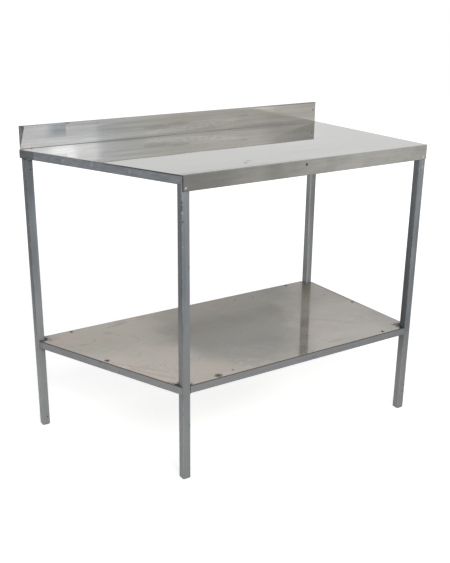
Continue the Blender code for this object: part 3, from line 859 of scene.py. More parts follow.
def shelf_streak(place, start, end, radius):
    """A streak on the shelf, given by its two ends and its radius."""
    return streak(place, (*start, SHELF_HEIGHT), (*end, SHELF_HEIGHT), radius, 1.4)


def shelf_stains(place, along):
    """Mask of brown stains: soft spots, the ring a can has left, and tide lines at the left.

    A tide line is where a slow noise passes its middle value, as a contour line on a map.
    """
    stain = 0.0
    for (x, y), radius in SHELF_STAINS.items():
        stain = largest(stain, spot(place, (x, y, SHELF_HEIGHT), radius, 1.6) * 0.6)
    centre, radius = RING_STAIN
    ring = fade(abs(vectors("DISTANCE", place, centre) - radius), 0.0035, 0.0)
    line = fade(abs(noise(place, 7.0, 3.0) - 0.5), 0.026, 0.0)
    broken = mottle(place, (22.0, 22.0, 22.0), 0.46, 0.62)
    return largest(stain, largest(ring, line * broken * fade(along, 0.05, -0.20) * 0.8))


def shelf_colour(place, dark_middle, cloud):
    """Pale steel, a painted dark reflection in its middle, warm patches, tide marks and brown stains."""
    along, across, _ = split(place)
    clear = 1.0 - dark_middle
    # Painted reflection: the middle is painted dark.
    colour = tint(dark_middle, SHELF_STEEL_PALE, SHELF_DARK_REFLECTION)
    warm = mottle(place, (8.0, 8.0, 8.0), 0.40, 0.62) * clear * fade(along, 0.0, 0.25, 0.35, 0.12)
    colour = tint(warm, colour, SHELF_WARM)
    olive = mottle(place, (13.0, 26.0, 13.0), 0.44, 0.64) * clear * fade(along, -0.15, 0.20, 0.15, 0.45)
    colour = tint(olive, colour, SHELF_OLIVE)
    colour = shaded(colour, blend(cloud, 0.94, 1.07))
    # Painted reflection: darker towards the front, less so at the left, paler towards the back, and darker
    # towards the right end.
    front_tone = fade(along, -0.05, -0.25, 0.80, 0.95)
    colour = shaded(colour, fade(across, -0.10, 0.02, front_tone, 1.15))
    colour = shaded(colour, fade(along, 0.15, 0.52, 1.0, 0.72))
    at_right = fade(along, 0.15, 0.32) * within(across, (-0.22, -0.14, -0.06, 0.0))
    colour = dyed(colour, at_right, YELLOWED)

    near_front = fade(across, 0.08, -0.22) * fade(along, 0.45, 0.0, 0.5, 1.0)
    blotch = mottle(place, (30.0, 36.0, 30.0), 0.48, 0.62)
    tide = largest(blotch, cloud) * near_front * clear
    colour = tint(tide * 0.50, colour, SHELF_TIDE)
    speckled = mottle(place, (55.0, 80.0, 55.0), 0.46, 0.60) * near_front * clear
    colour = tint(speckled * fade(along, -0.10, -0.25) * 0.35, colour, SHELF_WARM)
    for turn in SCRATCH_TURNS:
        lines = mottle(turned(place, math.radians(turn)), (2.5, 70.0, 70.0), 0.50, 0.75)
        colour = toned(colour, lines, 1.05)

    # Paler by the angled end.
    from_end = along - slanted_x(0.0) + across * SLANT
    by_end = fade(from_end, 0.10, 0.01) * within(across, (-0.10, 0.0, 0.0, 0.15))
    colour = tint(by_end * blend(cloud, 0.45, 0.8), colour, SHELF_PALE_END)
    by_front_left = fade(from_end, 0.09, 0.01) * fade(across, 0.04, -0.06)
    colour = tint(by_front_left * blend(blotch, 0.35, 0.9), colour, SHELF_TIDE)
    by_square_end = fade(along, 0.44, 0.52) * fade(across, -0.06, -0.13) * blend(cloud, 0.6, 1.0)
    by_edge = fade(along, X_RIGHT - 0.014, X_RIGHT - 0.005) * 0.9
    colour = dyed(colour, largest(by_square_end, by_edge), BROWNED)
    streaked = fade(along, -0.20, 0.10, 0.3, 0.6)
    for ends_and_radius in BROWN_STREAKS:
        colour = tint(shelf_streak(place, *ends_and_radius) * streaked, colour, STREAK_BROWN)
    return tint(shelf_stains(place, along) * 0.50, colour, SHELF_STAIN)


def shelf_finish():
    """Dulled steel under clear gloss: painted dark reflection and shade, tide marks, rust and scratches."""
    material, place = new_finish("shelf_steel")
    _, across, _ = split(place)
    dark_middle = shelf_dark_middle(place)
    cloud = mottle(place, (9.0, 11.0, 10.0), 0.3, 0.7)
    colour = shelf_colour(place, dark_middle, cloud)
    rust = largest(shelf_rust(place), near_legs(place, 0.034) * 0.7)
    colour = tint(rust * 0.85, colour, SHELF_RUST)
    # Painted shade: black where the shelf meets the legs, along its edges and in a streak by the angled rail
    # at the front left.
    black = largest(near_legs(place, 0.024), piece_mark(place, "edge") * 0.7)
    black = largest(black, shelf_streak(place, *CORNER_SHADE_STREAK))
    gloss = fade(across, -0.10, 0.02, 0.95, 0.55) * blend(dark_middle, 1.0, 0.62)
    scratch = mottle(place, (3.0, 140.0, 140.0), 0.3, 0.7)
    return dress(material, {
        "Base Color": tint(black, colour, SHADE_BLACK),
        "Roughness": blend(cloud, 0.26, 0.36) + rust * 0.3 + fade(across, -0.05, 0.12, 0.0, 0.20),
        "Metallic": blend(rust, 0.9, 0.3),
        "Coat Weight": gloss * fade(rust, 0.0, 0.6, 1.0, 0.1),
        "Coat Roughness": 0.05,
        "Coat IOR": 1.9,
        "Normal": bumped(scratch, 0.02, 0.00003),
    })


SHELF_STEEL = shelf_finish()
print("shelf finish:", SHELF_STEEL.name, "with", len(SHELF_SCREW_NAMES), "rusted screw places")

# %% [markdown]
# ## Finishes of the small pieces
# The apron's screws are bright, the shelf's have rusted, the rivet is nearly black and the feet are grey
# plastic. They share one function, because each is a base colour with a second one worn into it.

# %% Small finishes


def small_finish(name, base, mark, share, roughness, metallic):
    """A base colour with a second colour clouded into it, as far as share says."""
    material, place = new_finish(name)
    cloud = mottle(place, (400.0, 400.0, 400.0), 0.75 - share / 2, 0.95 - share / 2)
    return dress(material, {
        "Base Color": tint(cloud, base, mark),
        "Roughness": blend(cloud, roughness, roughness + 0.3),
        "Metallic": metallic,
    })


SCREW_BRIGHT = small_finish("screw_bright", (0.52, 0.51, 0.48, 1.0), (0.24, 0.21, 0.18, 1.0), 0.5, 0.24, 1.0)
SCREW_RUSTED = small_finish("screw_rusted", (0.26, 0.22, 0.18, 1.0), (0.10, 0.07, 0.05, 1.0), 0.8, 0.45, 0.6)
RIVET_DARK = small_finish("rivet_dark", (0.060, 0.058, 0.055, 1.0), (0.14, 0.13, 0.12, 1.0), 0.4, 0.45, 0.7)
FOOT_GREY = small_finish("foot_grey", (0.165, 0.166, 0.168, 1.0), (0.30, 0.30, 0.30, 1.0), 0.5, 0.55, 0.0)
WELD_STEEL = small_finish("weld_steel", (0.200, 0.212, 0.225, 1.0), (0.10, 0.085, 0.07, 1.0), 0.5, 0.45, 0.4)
print("small finishes for bright and rusted screws, rivet, feet and welds")

# %% [markdown]
# ## From arrays to meshes
# Each new piece is a grid of points, worked out for the whole piece at once, with faces between
# neighbours. One function numbers the faces of a grid, and one puts the arrays into Blender, welds the
# points that fall together at a pole, and turns the faces outward if the enclosed volume is negative.

# %% Mesh helpers
WELD_DISTANCE = 1e-7
SHARP_ANGLE = math.radians(40)


def grid_quads(rows, columns, close_rows=False, close_columns=False):
    """Corner numbers of every cell of a grid, whose points are numbered along each row in turn."""
    row = np.arange(rows if close_rows else rows - 1)
    column = np.arange(columns if close_columns else columns - 1)
    r, c = np.meshgrid(row, column, indexing="ij")
    next_r = (r + 1) % rows
    next_c = (c + 1) % columns
    corners = [r * columns + c, r * columns + next_c, next_r * columns + next_c, next_r * columns + c]
    return np.stack(corners, axis=-1).reshape(-1, 4)


def make_piece(name, surface, material, stands_for=()):
    """A closed mesh object from arrays of points, faces and named marks, riding on the frame."""
    points, faces, marks = surface
    mesh = bpy.data.meshes.new(name)
    mesh.from_pydata(points.reshape(-1, 3).tolist(), [], faces.tolist())
    for label, values in marks.items():
        mark = mesh.attributes.new(label, "FLOAT", "POINT")
        mark.data.foreach_set("value", values.astype(np.float32).ravel())
    work = bmesh.new()
    work.from_mesh(mesh)
    bmesh.ops.remove_doubles(work, verts=work.verts, dist=WELD_DISTANCE)
    if work.calc_volume(signed=True) < 0:
        bmesh.ops.reverse_faces(work, faces=work.faces)
    work.to_mesh(mesh)
    work.free()
    mesh.shade_smooth()
    mesh.set_sharp_from_angle(angle=SHARP_ANGLE)
    mesh.materials.append(material)
    piece = add_object(name, mesh)
    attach(piece, "root")
    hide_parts(*stands_for)
    return piece


print("mesh helpers: grid_quads, make_piece")

# %% [markdown]
# ## Square tubes
# All of the frame is one size of square tube with small round corners. A cube with bevelled edges would
# look the same from outside, but a tube has a bore, and its ends are cut at different angles. So a
# rounded square, outside and inside, is carried along the tube's axis, and each of its points slides
# along the axis until it meets the plane that cuts the end.

# %% Tube surface
TUBE_WALL = 0.0015
TUBE_CORNER = 0.003
BORE_CORNER = 0.0015
CORNER_POINTS = 8
FLAT_POINTS = 11
TUBE_STATIONS = 9
CLEAR = 0.0003
X_AXIS, Y_AXIS, Z_AXIS = np.eye(3)


def rounded_square(side, radius):
    """Points round a square with round corners, and the way each one faces, as complex numbers.

    A quarter is an arc about the corner's centre and then a straight run; the other three quarters are
    the same points turned by a right angle, which is a multiplication by i.
    """
    inset = side / 2 - radius
    swing = np.exp(1j * np.linspace(0, math.pi / 2, CORNER_POINTS))
    arc = inset * (1 + 1j) + radius * swing
    flat = np.linspace(inset, -inset, FLAT_POINTS + 2)[1:-1] + 1j * side / 2
    quarter = np.concatenate([arc, flat])
    facing = np.concatenate([swing, np.full(FLAT_POINTS, 1j)])
    return tuple(np.concatenate([part * 1j**turns for turns in range(4)]) for part in (quarter, facing))


def plane_reach(lines, along, cut):
    """How far each line runs along the axis before it meets a plane, given as a point and a normal."""
    point, normal = cut
    return (point - lines) @ normal / (along @ normal)


def tube_surface(origin, across, up, along, start_reach, end_reach):
    """A hollow tube: the outer square carried from start to end, then the bore carried back again.

    The two reach functions say, for an array of lines along the tube, where each begins and ends.
    """
    share = np.linspace(0, 1, TUBE_STATIONS)[:, None]
    walls = []
    for side, radius in ((TUBE, TUBE_CORNER), (TUBE - 2 * TUBE_WALL, BORE_CORNER)):
        square, facing = rounded_square(side, radius)
        lines = origin + square.real[:, None] * across + square.imag[:, None] * up
        start = start_reach(lines)
        reach = start + (end_reach(lines) - start) * share
        walls.append(lines + reach[:, :, None] * along)
    points = np.concatenate([walls[0], walls[1][::-1]])
    edge = abs(np.sin(2 * np.angle(facing)))
    left = np.clip(-facing.real * across[0] - facing.imag * up[0], 0, 1)
    bare = np.zeros((TUBE_STATIONS, len(facing)))
    marks = {label: np.concatenate([mark + bare, bare]) for label, mark in (("edge", edge), ("left", left))}
    return points, grid_quads(points.shape[0], points.shape[1], True, True), marks


print("a tube has", 2 * TUBE_STATIONS * 4 * (CORNER_POINTS + FLAT_POINTS), "points")

# %% Legs


def level_cut(height):
    """A reach function for a level cut at a given height."""
    return lambda lines: plane_reach(lines, Z_AXIS, (np.array([0.0, 0.0, height]), Z_AXIS))


for corner in CORNERS:
    ends = (level_cut(LEG_FOOT), level_cut(LEG_TOP))
    surface = tube_surface(leg_middle[corner] * [1, 1, 0], X_AXIS, Y_AXIS, Z_AXIS, *ends)
    make_piece("dressed_leg_" + corner, surface, LEG_PAINT, ["leg_" + corner])
print("legs from %.1f to %.1f mm" % (LEG_FOOT * 1000, LEG_TOP * 1000))

# %% [markdown]
# ## Rails
# The top rails form a ring, mitred at its four corners, that stands on the legs. The shelf rails run
# between the legs and end square, except the one along the angled end: it meets the rear leg obliquely
# and is coped round the front leg, so that it ends on the leg's back and on its left face.

# %% Top rails
frame_corners = np.array([
    [slanted_x(Y_LEG_FRONT), Y_LEG_FRONT, 0.0],
    [X_RIGHT, Y_LEG_FRONT, 0.0],
    [X_RIGHT, Y_REAR, 0.0],
    [slanted_x(Y_REAR), Y_REAR, 0.0],
])
runs = np.roll(frame_corners, -1, axis=0) - frame_corners
runs = runs / np.linalg.norm(runs, axis=1, keepdims=True)
RAIL_PAINTS = dict(zip(SIDES, (CROSS_RAIL_PAINT, END_RAIL_PAINT, CROSS_RAIL_PAINT, END_RAIL_PAINT)))


def rail_surface(number, top, start_reach, end_reach):
    """A level tube along one side of the plan, its outer face on the line between two corners."""
    along = runs[number]
    inward = np.cross(Z_AXIS, along)
    origin = frame_corners[number] + inward * TUBE / 2 + Z_AXIS * (top - TUBE / 2)
    return tube_surface(origin, inward, Z_AXIS, along, start_reach, end_reach)


def mitre(number, corner, gap):
    """A reach function for the plane that halves a corner of the ring, a small gap away from it."""
    normal = runs[corner - 1] + runs[corner]
    normal = normal / np.linalg.norm(normal)
    point = frame_corners[corner] + normal * gap
    return lambda lines: plane_reach(lines, runs[number], (point, normal))


for number, side in enumerate(SIDES):
    following = (number + 1) % len(SIDES)
    ends = (mitre(number, number, CLEAR / 2), mitre(number, following, -CLEAR / 2))
    surface = rail_surface(number, RAIL_TOP, *ends)
    make_piece("dressed_top_rail_" + side, surface, RAIL_PAINTS[side], ["top_rail_" + side])
print("top rails end at %.1f mm" % (RAIL_TOP * 1000))

# %% Shelf rails


def square_cut(number, axis, place):
    """A reach function for an upright plane square to an axis."""
    return lambda lines: plane_reach(lines, runs[number], (axis * place, axis))


def cope(lines):
    """Where lines of the angled shelf rail meet the front left leg: its back, or else its left face."""
    along = runs[SIDES.index("left")]
    back = leg_high["front_left"][1] + CLEAR
    left = leg_low["front_left"][0] - CLEAR
    to_back = (back - lines[:, 1]) / along[1]
    to_left = (left - lines[:, 0]) / along[0]
    to_front = (Y_LEG_FRONT - lines[:, 1]) / along[1]
    beside = lines[:, 0] + to_back * along[0] < left
    return np.where(beside, np.minimum(to_left, to_front), to_back)


front_ends = (leg_high["front_left"][0] + CLEAR, leg_low["front_right"][0] - CLEAR)
side_ends = (leg_high["front_right"][1] + CLEAR, leg_low["rear_right"][1] - CLEAR)
rear_left_end = leg_high["rear_left"][0] + CLEAR
shelf_rail_ends = {
    "front": (square_cut(0, X_AXIS, front_ends[0]), square_cut(0, X_AXIS, front_ends[1])),
    "right": (square_cut(1, Y_AXIS, side_ends[0]), square_cut(1, Y_AXIS, side_ends[1])),
    "rear": (square_cut(2, X_AXIS, front_ends[1]), square_cut(2, X_AXIS, rear_left_end)),
    "left": (square_cut(3, Y_AXIS, side_ends[1]), cope),
}
for number, side in enumerate(SIDES):
    surface = rail_surface(number, SHELF_RAIL_TOP, *shelf_rail_ends[side])
    make_piece("dressed_shelf_rail_" + side, surface, RAIL_PAINTS[side], ["shelf_rail_" + side])
print("shelf rails end at %.1f mm" % (SHELF_RAIL_TOP * 1000))

# %% [markdown]
# ## Weld beads
# The tubes are welded. Their outer faces were ground flush, but under the rails, where nobody looks, the
# beads were left as the torch laid them: a row of overlapping ripples. A bead is a thin rod that swells
# and shrinks along its length, tapers to a point at both ends, and lies half sunk in the corner.

# %% Weld beads
BEAD_RADIUS = 0.0026
BEAD_PITCH = 0.0024
BEAD_STATIONS = 81
BEAD_SIDES = 14
BEAD_INSET = 0.002


def bead_points(start, end, out):
    """A rod from start to end, of radius times a rounded taper times a row of arches.

    Its axis lies off the corner by a third of the radius, towards the side called out.
    """
    share = np.linspace(0, 1, BEAD_STATIONS)[:, None]
    length = np.linalg.norm(end - start)
    taper = np.sqrt(1 - (2 * share - 1) ** 8)
    arches = 0.80 + 0.20 * abs(np.sin(math.pi * share * round(length / BEAD_PITCH)))
    turn = full_turn(BEAD_SIDES)
    side = np.cross((end - start) / length, out)
    radius = (BEAD_RADIUS * taper * arches)[..., None]
    ring = np.cos(turn)[:, None] * out + np.sin(turn)[:, None] * side
    axis = start + (end - start) * share[..., None] + out * BEAD_RADIUS / 3
    return axis + radius * ring


def bead_lines(corner, level):
    """Where the two inner faces of a leg meet the undersides of the rails at one level."""
    low, high = leg_low[corner] + BEAD_INSET, leg_high[corner] - BEAD_INSET
    to_right = 1.0 if corner.endswith("left") else -1.0
    to_back = 1.0 if corner.startswith("front") else -1.0
    x = leg_high[corner][0] if to_right > 0 else leg_low[corner][0]
    y = leg_high[corner][1] if to_back > 0 else leg_low[corner][1]
    x_low, x_high = low[0], high[0]
    if corner.endswith("left"):
        x_low = max(x_low, slanted_x(y) + BEAD_INSET)
        x_high = min(x_high, slanted_x(y) + TUBE * math.hypot(1, SLANT) - BEAD_INSET)
    along_y = (np.array([x, low[1], level]), np.array([x, high[1], level]), to_right * X_AXIS - Z_AXIS)
    along_x = (np.array([x_low, y, level]), np.array([x_high, y, level]), to_back * Y_AXIS - Z_AXIS)
    return along_y, along_x


for corner in CORNERS:
    lines = [line for top in (RAIL_TOP, SHELF_RAIL_TOP) for line in bead_lines(corner, top - TUBE)]
    points = np.stack([bead_points(start, end, out / np.linalg.norm(out)) for start, end, out in lines])
    rod = grid_quads(BEAD_STATIONS, BEAD_SIDES, False, True)
    faces = np.concatenate([rod + number * BEAD_STATIONS * BEAD_SIDES for number in range(len(lines))])
    make_piece("weld_beads_" + corner, (points, faces, {}), WELD_STEEL)
print("weld beads under the rails:", len(lines), "at each leg")

# %% [markdown]
# ## The folded worktop
# One sheet makes the apron, the flat top, the upstand and its narrow return. Its section is a line with
# three round bends, and the sheet is that line carried along X, with half the thickness to either side.
# A real sheet is never quite flat, and a mirror shows it, so the flat parts also swell and hollow by a
# fraction of a millimetre, with nothing at the folds, which hold the sheet straight.

# %% Section of the worktop
BEND_RADIUS = 0.0015
APRON_SETBACK = 0.0025
UPSTAND_RAKE = 0.0175
END_PLATE = 0.0012
END_PLATE_FLARE = 0.012
SECTION_STEP = 0.010
RIM_WIDTH = 0.0012
BEND_POINTS = 9


def bent_line(corners, radius):
    """A line through corners with a round bend at each: points, headings and a wave allowance.

    The allowance is zero at both ends of each straight run and one in its middle, as a half sine.
    """
    points = []
    headings = []
    slack = []
    begin = corners[0]
    for number in range(len(corners) - 1):
        heading = corners[number + 1] - corners[number]
        heading = heading / abs(heading)
        last = number == len(corners) - 2
        turn = 0.0 if last else np.angle((corners[number + 2] - corners[number + 1]) / heading)
        end = corners[number + 1] - heading * radius * math.tan(abs(turn) / 2)
        steps = np.linspace(0, 1, max(3, int(abs(end - begin) / SECTION_STEP)))
        rim = RIM_WIDTH / abs(end - begin)
        steps = np.unique(np.concatenate([steps, [rim, 1 - rim]]))
        points.append(begin + (end - begin) * steps)
        headings.append(np.full(len(steps), heading))
        slack.append(np.sin(math.pi * steps))
        if not last:
            swing = np.exp(1j * turn * np.linspace(0, 1, BEND_POINTS)[1:-1])
            side = 1j * heading * np.sign(turn)
            points.append(end + side * radius * (1 - swing))
            headings.append(heading * swing)
            slack.append(np.zeros(BEND_POINTS - 2))
            begin = end + side * radius * (1 - np.exp(1j * turn))
    return np.concatenate(points), np.concatenate(headings), np.concatenate(slack)


half_sheet = TOP_SHEET / 2
section_corners = [
    complex(Y_FRONT + half_sheet, APRON_BOTTOM),
    complex(Y_FRONT + half_sheet, WORKTOP_HEIGHT - half_sheet),
    complex(Y_REAR - half_sheet, WORKTOP_HEIGHT - half_sheet),
    complex(Y_REAR - half_sheet, UPSTAND_TOP - half_sheet),
    complex(RETURN_EDGE, UPSTAND_TOP - half_sheet),
]
section, section_heading, section_slack = bent_line(section_corners, BEND_RADIUS + half_sheet)
print("the worktop's section has", len(section), "points")

# %% Worktop sheet
SHEET_STATIONS = 111
WAVES = ((0.00012, 9.0, 4.0, 0.4), (0.00006, 17.0, 9.0, 1.9), (0.00003, 31.0, 14.0, 4.1))
end_foot_x = slanted_x(Y_REAR) + 2 * (END_PLATE + CLEAR)
rake_slope = UPSTAND_RAKE / (UPSTAND_TOP - WORKTOP_HEIGHT)
flare_slope = END_PLATE_FLARE / (RETURN_EDGE - Y_REAR + TOP_SHEET)


def sheet_left_x(y, z):
    """X of the sheet's left edge: raked on the upstand, slanted on the top, set back on the apron."""
    behind = np.maximum(y - (Y_REAR - TOP_SHEET), 0.0)
    raked = end_foot_x + rake_slope * (z - WORKTOP_HEIGHT) - flare_slope * behind
    down = np.clip((WORKTOP_HEIGHT - TOP_SHEET - z) / BEND_RADIUS, 0.0, 1.0)
    return np.where(z > WORKTOP_HEIGHT + CLEAR, raked, slanted_x(y) + APRON_SETBACK * down)


def swell(x, s):
    """Slow waves along and across a sheet: a sum of sine products, in metres."""
    return sum(size * np.sin(a * x + phase) * np.cos(b * s - phase) for size, a, b, phase in WAVES)


def worktop_surface():
    """The section, outer side and back along the inner side, carried from the left edge to the right."""
    inner = np.linspace(0, 1, SHEET_STATIONS)
    share = np.concatenate([[0.0], RIM_WIDTH + (1 - 2 * RIM_WIDTH) * inner, [1.0]])[:, None]
    normal = 1j * section_heading
    run = np.concatenate([[0.0], np.cumsum(abs(np.diff(section)))])
    sides = []
    for sign in (1, -1):
        line = section + sign * half_sheet * normal
        left = sheet_left_x(line.real, line.imag)
        x = left + (X_RIGHT - left) * share
        moved = line + swell(x, run) * section_slack * normal
        sides.append(np.stack([x, moved.real, moved.imag], axis=-1))
    points = np.concatenate([sides[0], sides[1][:, ::-1]], axis=1)
    rows, columns, _ = points.shape
    half = columns // 2
    outer = np.arange(half - 1)
    caps = []
    for first in (0, (rows - 1) * columns):
        cap = np.stack([outer, outer + 1, columns - 2 - outer, columns - 1 - outer], axis=1) + first
        caps.append(cap if first else cap[:, ::-1])
    edge = np.zeros((rows, columns))
    edge[0] = 1.0
    edge[:, [0, half - 1, half, columns - 1]] = 1.0
    return points, np.concatenate([grid_quads(rows, columns, False, True), *caps]), {"edge": edge}


worktop = make_piece("folded_worktop", worktop_surface(), WORKTOP_STEEL, ["worktop_sheet"])
print("worktop sheet of", len(worktop.data.polygons), "faces")

# %% [markdown]
# ## The empty hole
# One screw of the apron is missing, and its hole goes on into the rail behind. A dark disc would only
# look right from the front, so the hole is cut through both pieces with an exact Boolean.

# %% Drill the empty hole
EMPTY_HOLE_RADIUS = 0.0024
EMPTY_HOLE_DEPTH = 0.006
HOLE_SIDES = 32


def drill(piece, centre, radius, reach):
    """Takes a round hole along Y out of a piece, a reach to either side of its centre."""
    turn = full_turn(HOLE_SIDES)
    ring = np.stack([radius * np.cos(turn), 0 * turn, radius * np.sin(turn)], axis=1)
    points = np.concatenate([centre + ring - reach * Y_AXIS, centre + ring + reach * Y_AXIS])
    caps = [list(range(HOLE_SIDES)), list(range(2 * HOLE_SIDES - 1, HOLE_SIDES - 1, -1))]
    mesh = bpy.data.meshes.new("drill")
    mesh.from_pydata(points.tolist(), [], grid_quads(2, HOLE_SIDES, False, True)[:, ::-1].tolist() + caps)
    cutter = add_object("drill", mesh)
    cut = piece.modifiers.new("hole", "BOOLEAN")
    cut.object = cutter
    cut.solver = "EXACT"
    graph = bpy.context.evaluated_depsgraph_get()
    drilled = bpy.data.meshes.new_from_object(piece.evaluated_get(graph))
    piece.modifiers.remove(cut)
    piece.data = drilled
    bpy.data.objects.remove(cutter)
    print(piece.name, "drilled, now with", len(drilled.polygons), "faces")


for piece in (worktop, bpy.data.objects["dressed_top_rail_front"]):
    drill(piece, np.array(EMPTY_HOLE), EMPTY_HOLE_RADIUS, EMPTY_HOLE_DEPTH)

# %% [markdown]
# ## The end plate
# A small triangular plate closes the raked end of the upstand. Its CAD solid already has the right
# shape, flat and sharp, so it stays, and only takes a finish of dull dark steel.

# %% End plate finish
PLATE_DARK = (0.10, 0.103, 0.108, 1.0)
PLATE_LIGHT = (0.20, 0.205, 0.21, 1.0)


def plate_finish():
    """Dull dark steel, mottled, for the small closing plate."""
    material, place = new_finish("end_plate_steel")
    cloud = mottle(place, (90.0, 90.0, 60.0))
    return dress(material, {
        "Base Color": tint(cloud, PLATE_DARK, PLATE_LIGHT),
        "Roughness": blend(cloud, 0.3, 0.42),
        "Metallic": 0.8,
    })


end_plate = frame["nodes"]["upstand_end_plate"]
end_plate.data.materials.clear()
end_plate.data.materials.append(plate_finish())
print("end plate keeps its CAD solid")

# %% [markdown]
# ## The shelf
# The shelf is a flat sheet with a square notch at each corner, where it goes round a leg. Cutting the
# notches out with Booleans would work. Here the sheet is a grid whose columns follow the notches and the
# angled end, and the cells that fall in a notch are simply left out, so all faces stay clean quads.

# %% Shelf sheet
SHELF_SHEET = 0.0010
NOTCH_GAP = 0.003
SHELF_SAG = 0.0006
SHELF_RIM = 0.001
notch = TUBE + NOTCH_GAP


def plate_faces(keep, rows, columns):
    """Faces of a sheet with missing cells: its top, its underside and a wall along every open side."""
    points_per_side = rows * columns
    top = grid_quads(rows, columns)[keep.ravel()]
    number = np.arange(points_per_side).reshape(rows, columns)
    padded = np.pad(keep, 1)
    here = padded[1:-1, 1:-1]
    sides = (
        (here & ~padded[:-2, 1:-1], number[:-1, :-1], number[:-1, 1:]),
        (here & ~padded[2:, 1:-1], number[1:, 1:], number[1:, :-1]),
        (here & ~padded[1:-1, :-2], number[1:, :-1], number[:-1, :-1]),
        (here & ~padded[1:-1, 2:], number[:-1, 1:], number[1:, 1:]),
    )
    walls = []
    for open_side, first, second in sides:
        a = first[open_side]
        b = second[open_side]
        walls.append(np.stack([b, a, a + points_per_side, b + points_per_side], axis=1))
    return np.concatenate([top, top[:, ::-1] + points_per_side, *walls])


def run_of(*stops):
    """Numbers from stop to stop, each stop given with how many steps lead on from it."""
    parts = [np.linspace(a, b, steps, endpoint=False) for (a, steps), (b, _) in zip(stops, stops[1:])]
    return np.concatenate([*parts, [stops[-1][0]]])


def shelf_surface():
    """Rows from front to rear and columns from the left edge to the right, bent to the notch corners."""
    front = Y_LEG_FRONT + notch
    rear = Y_REAR - notch
    y = run_of((Y_LEG_FRONT, 1), (Y_LEG_FRONT + SHELF_RIM, 6), (front, 60),
               (rear, 6), (Y_REAR - SHELF_RIM, 1), (Y_REAR, 0))
    share = run_of((0.0, 1), (0.04, 5), (1.0, 110), (2.0, 5), (2.96, 1), (3.0, 0))
    row_y, column = np.meshgrid(y, share, indexing="ij")
    inside = np.clip((row_y - front) / (rear - front), 0, 1)
    left_notch = X_FRONT_LEFT + notch + (leg_low["rear_left"][0] - X_FRONT_LEFT) * inside
    right_notch = X_RIGHT - notch
    stops = [slanted_x(row_y), left_notch, right_notch + 0 * row_y, X_RIGHT + 0 * row_y]
    cell = np.clip(column.astype(int), 0, 2)
    start = np.choose(cell, stops[:3])
    x = start + (np.choose(cell, stops[1:]) - start) * (column - cell)
    middle_y = (y[:-1] + y[1:]) / 2
    middle_share = (share[:-1] + share[1:]) / 2
    in_notch_rows = (middle_y < front) | (middle_y > rear)
    outer_columns = (middle_share < 1.0) | (middle_share > 2.0)
    keep = ~(in_notch_rows[:, None] & outer_columns[None, :])
    held = np.sin(math.pi * np.clip(column / 3, 0, 1)) * np.sin(math.pi * (row_y - y[0]) / (y[-1] - y[0]))
    wave = held * (swell(x, row_y) - SHELF_SAG)
    levels = [np.stack([x, row_y, SHELF_HEIGHT - depth + wave], axis=-1) for depth in (0.0, SHELF_SHEET)]
    border = np.zeros(row_y.shape)
    border[[0, -1]] = 1.0
    border[:, [0, -1]] = 1.0
    faces = plate_faces(keep, len(y), len(share))
    used = np.unique(faces)
    new_number = np.zeros(2 * row_y.size, dtype=int)
    new_number[used] = np.arange(len(used))
    marks = {"edge": np.tile(border.ravel(), 2)[used]}
    return np.concatenate(levels).reshape(-1, 3)[used], new_number[faces], marks


shelf = make_piece("notched_shelf", shelf_surface(), SHELF_STEEL, ["shelf_sheet"])
print("shelf sheet of", len(shelf.data.polygons), "faces")

# %% [markdown]
# ## Screws and rivet
# The screws have domed heads with a cross recess. A head is a surface of revolution, so it is a grid of
# rings and spokes. The recess is pressed into it by lowering every point that lies inside the cross,
# which leaves sloping walls, as a real punch does. The rivet is the same turned shape with a round dimple.

# %% Fasteners
HEAD_RINGS = 30
HEAD_SPOKES = 72
HEAD_RIM = 0.12
SCREW_RADIUS = 0.0040
SCREW_HEIGHT = 0.0024
RIVET_RADIUS = 0.0025
RIVET_HEIGHT = 0.0010
RECESS_DEPTH = 0.0011
RECESS_ARM = 0.0022
RECESS_WIDTH = 0.0007
DIMPLE_RADIUS = 0.0011
DIMPLE_DEPTH = 0.0005
SIDE_WALL = 0.0003
END_WALL = 0.0006


def soft_step(value):
    """A smooth rise from 0 to 1, by the cubic 3t2 - 2t3."""
    t = np.clip(value, 0, 1)
    return t * t * (3 - 2 * t)


def cross_recess(x, y):
    """Depth of a cross-shaped recess: the deeper of two crossed bars with soft walls."""
    bars = [soft_step((RECESS_WIDTH - abs(a)) / SIDE_WALL) * soft_step((RECESS_ARM - abs(b)) / END_WALL)
            for a, b in ((x, y), (y, x))]
    return RECESS_DEPTH * np.maximum(*bars)


def round_dimple(x, y):
    """Depth of a round dimple with soft walls."""
    return DIMPLE_DEPTH * soft_step((DIMPLE_RADIUS - np.hypot(x, y)) / END_WALL)


def head_surface(radius, height, pressed, seat, outward, up):
    """A dome, height (1 - (r / radius) squared) high, less what is pressed into it, closed underneath."""
    share = np.concatenate([np.linspace(0, 1, HEAD_RINGS), [1.0, 0.0]])[:, None]
    spoke = full_turn(HEAD_SPOKES)
    x = radius * share * np.cos(spoke)
    y = radius * share * np.sin(spoke)
    z = height * (1 - share**2) - pressed(x, y)
    z[-2:] = 0.0
    z[-3] = HEAD_RIM * height
    across = np.cross(up, outward)
    points = seat + x[..., None] * across + y[..., None] * up + z[..., None] * outward
    return points, grid_quads(*x.shape, False, True), {}


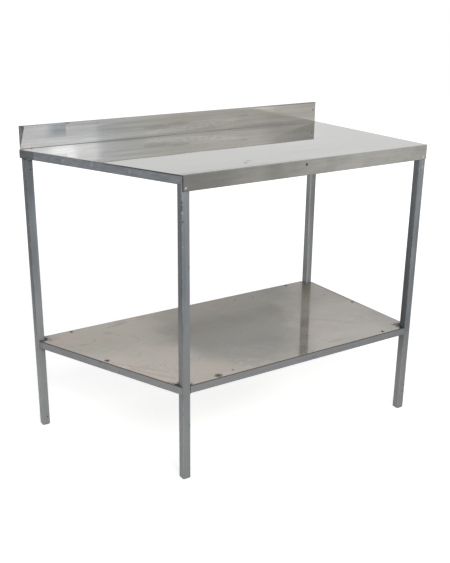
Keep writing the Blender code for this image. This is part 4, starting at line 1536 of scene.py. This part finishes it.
for node in sorted(frame["nodes"]):
    if "screw" in node:
        x, y, z = screw_centre(node)
        on_apron = node.startswith("apron")
        seat = np.array([x, Y_FRONT, z] if on_apron else [x, y, SHELF_HEIGHT])
        axes = (-Y_AXIS, Z_AXIS) if on_apron else (Z_AXIS, Y_AXIS)
        surface = head_surface(SCREW_RADIUS, SCREW_HEIGHT, cross_recess, seat, *axes)
        make_piece("head_of_" + node, surface, SCREW_BRIGHT if on_apron else SCREW_RUSTED, [node])

x, _, z = screw_centre("upstand_rivet")
rivet_seat = np.array([x, Y_REAR - TOP_SHEET, z])
surface = head_surface(RIVET_RADIUS, RIVET_HEIGHT, round_dimple, rivet_seat, -Y_AXIS, Z_AXIS)
make_piece("head_of_upstand_rivet", surface, RIVET_DARK, ["upstand_rivet"])
print("eight screw heads and a rivet")

# %% [markdown]
# ## Feet
# Each leg ends in a push-in plastic foot. It is a stack of rounded squares: the plug in the bore, the
# flange under the tube, and a lower edge that is rolled in by a quarter round to the flat sole.

# %% Feet
FOOT_FLANGE = 0.004
FOOT_ROUND = 0.0034
FOOT_PLUG = 0.018
FOOT_MIDDLE = 0.004
ROUND_POINTS = 7


def foot_surface(centre):
    """Rounded squares stacked from the top of the plug down to the sole, closed at both ends."""
    plug = TUBE - 2 * TUBE_WALL - 2 * CLEAR
    swing = np.linspace(0, math.pi / 2, ROUND_POINTS)
    rolled = TUBE - 2 * FOOT_ROUND * (1 - np.cos(swing))
    side = np.concatenate([[FOOT_MIDDLE, plug, plug, TUBE], rolled, [FOOT_MIDDLE]])
    low = FOOT_ROUND * (1 - np.sin(swing))
    height = np.concatenate([[FOOT_FLANGE + FOOT_PLUG] * 2, [FOOT_FLANGE] * 2, low, [0.0]])
    corner = np.minimum(TUBE_CORNER + np.clip(TUBE - side, 0, None) * (height < FOOT_FLANGE), side * 0.45)
    ring = np.array([rounded_square(wide, radius)[0] for wide, radius in zip(side, corner)])
    ring[[0, -1]] = 0.0
    level = height[:, None] + 0 * ring.real
    points = np.stack([centre[0] + ring.real, centre[1] + ring.imag, level], axis=-1)
    return points, grid_quads(*ring.shape, False, True), {}


for corner in CORNERS:
    surface = foot_surface(leg_middle[corner])
    make_piece("rolled_foot_" + corner, surface, FOOT_GREY, ["foot_" + corner])
print("four feet")
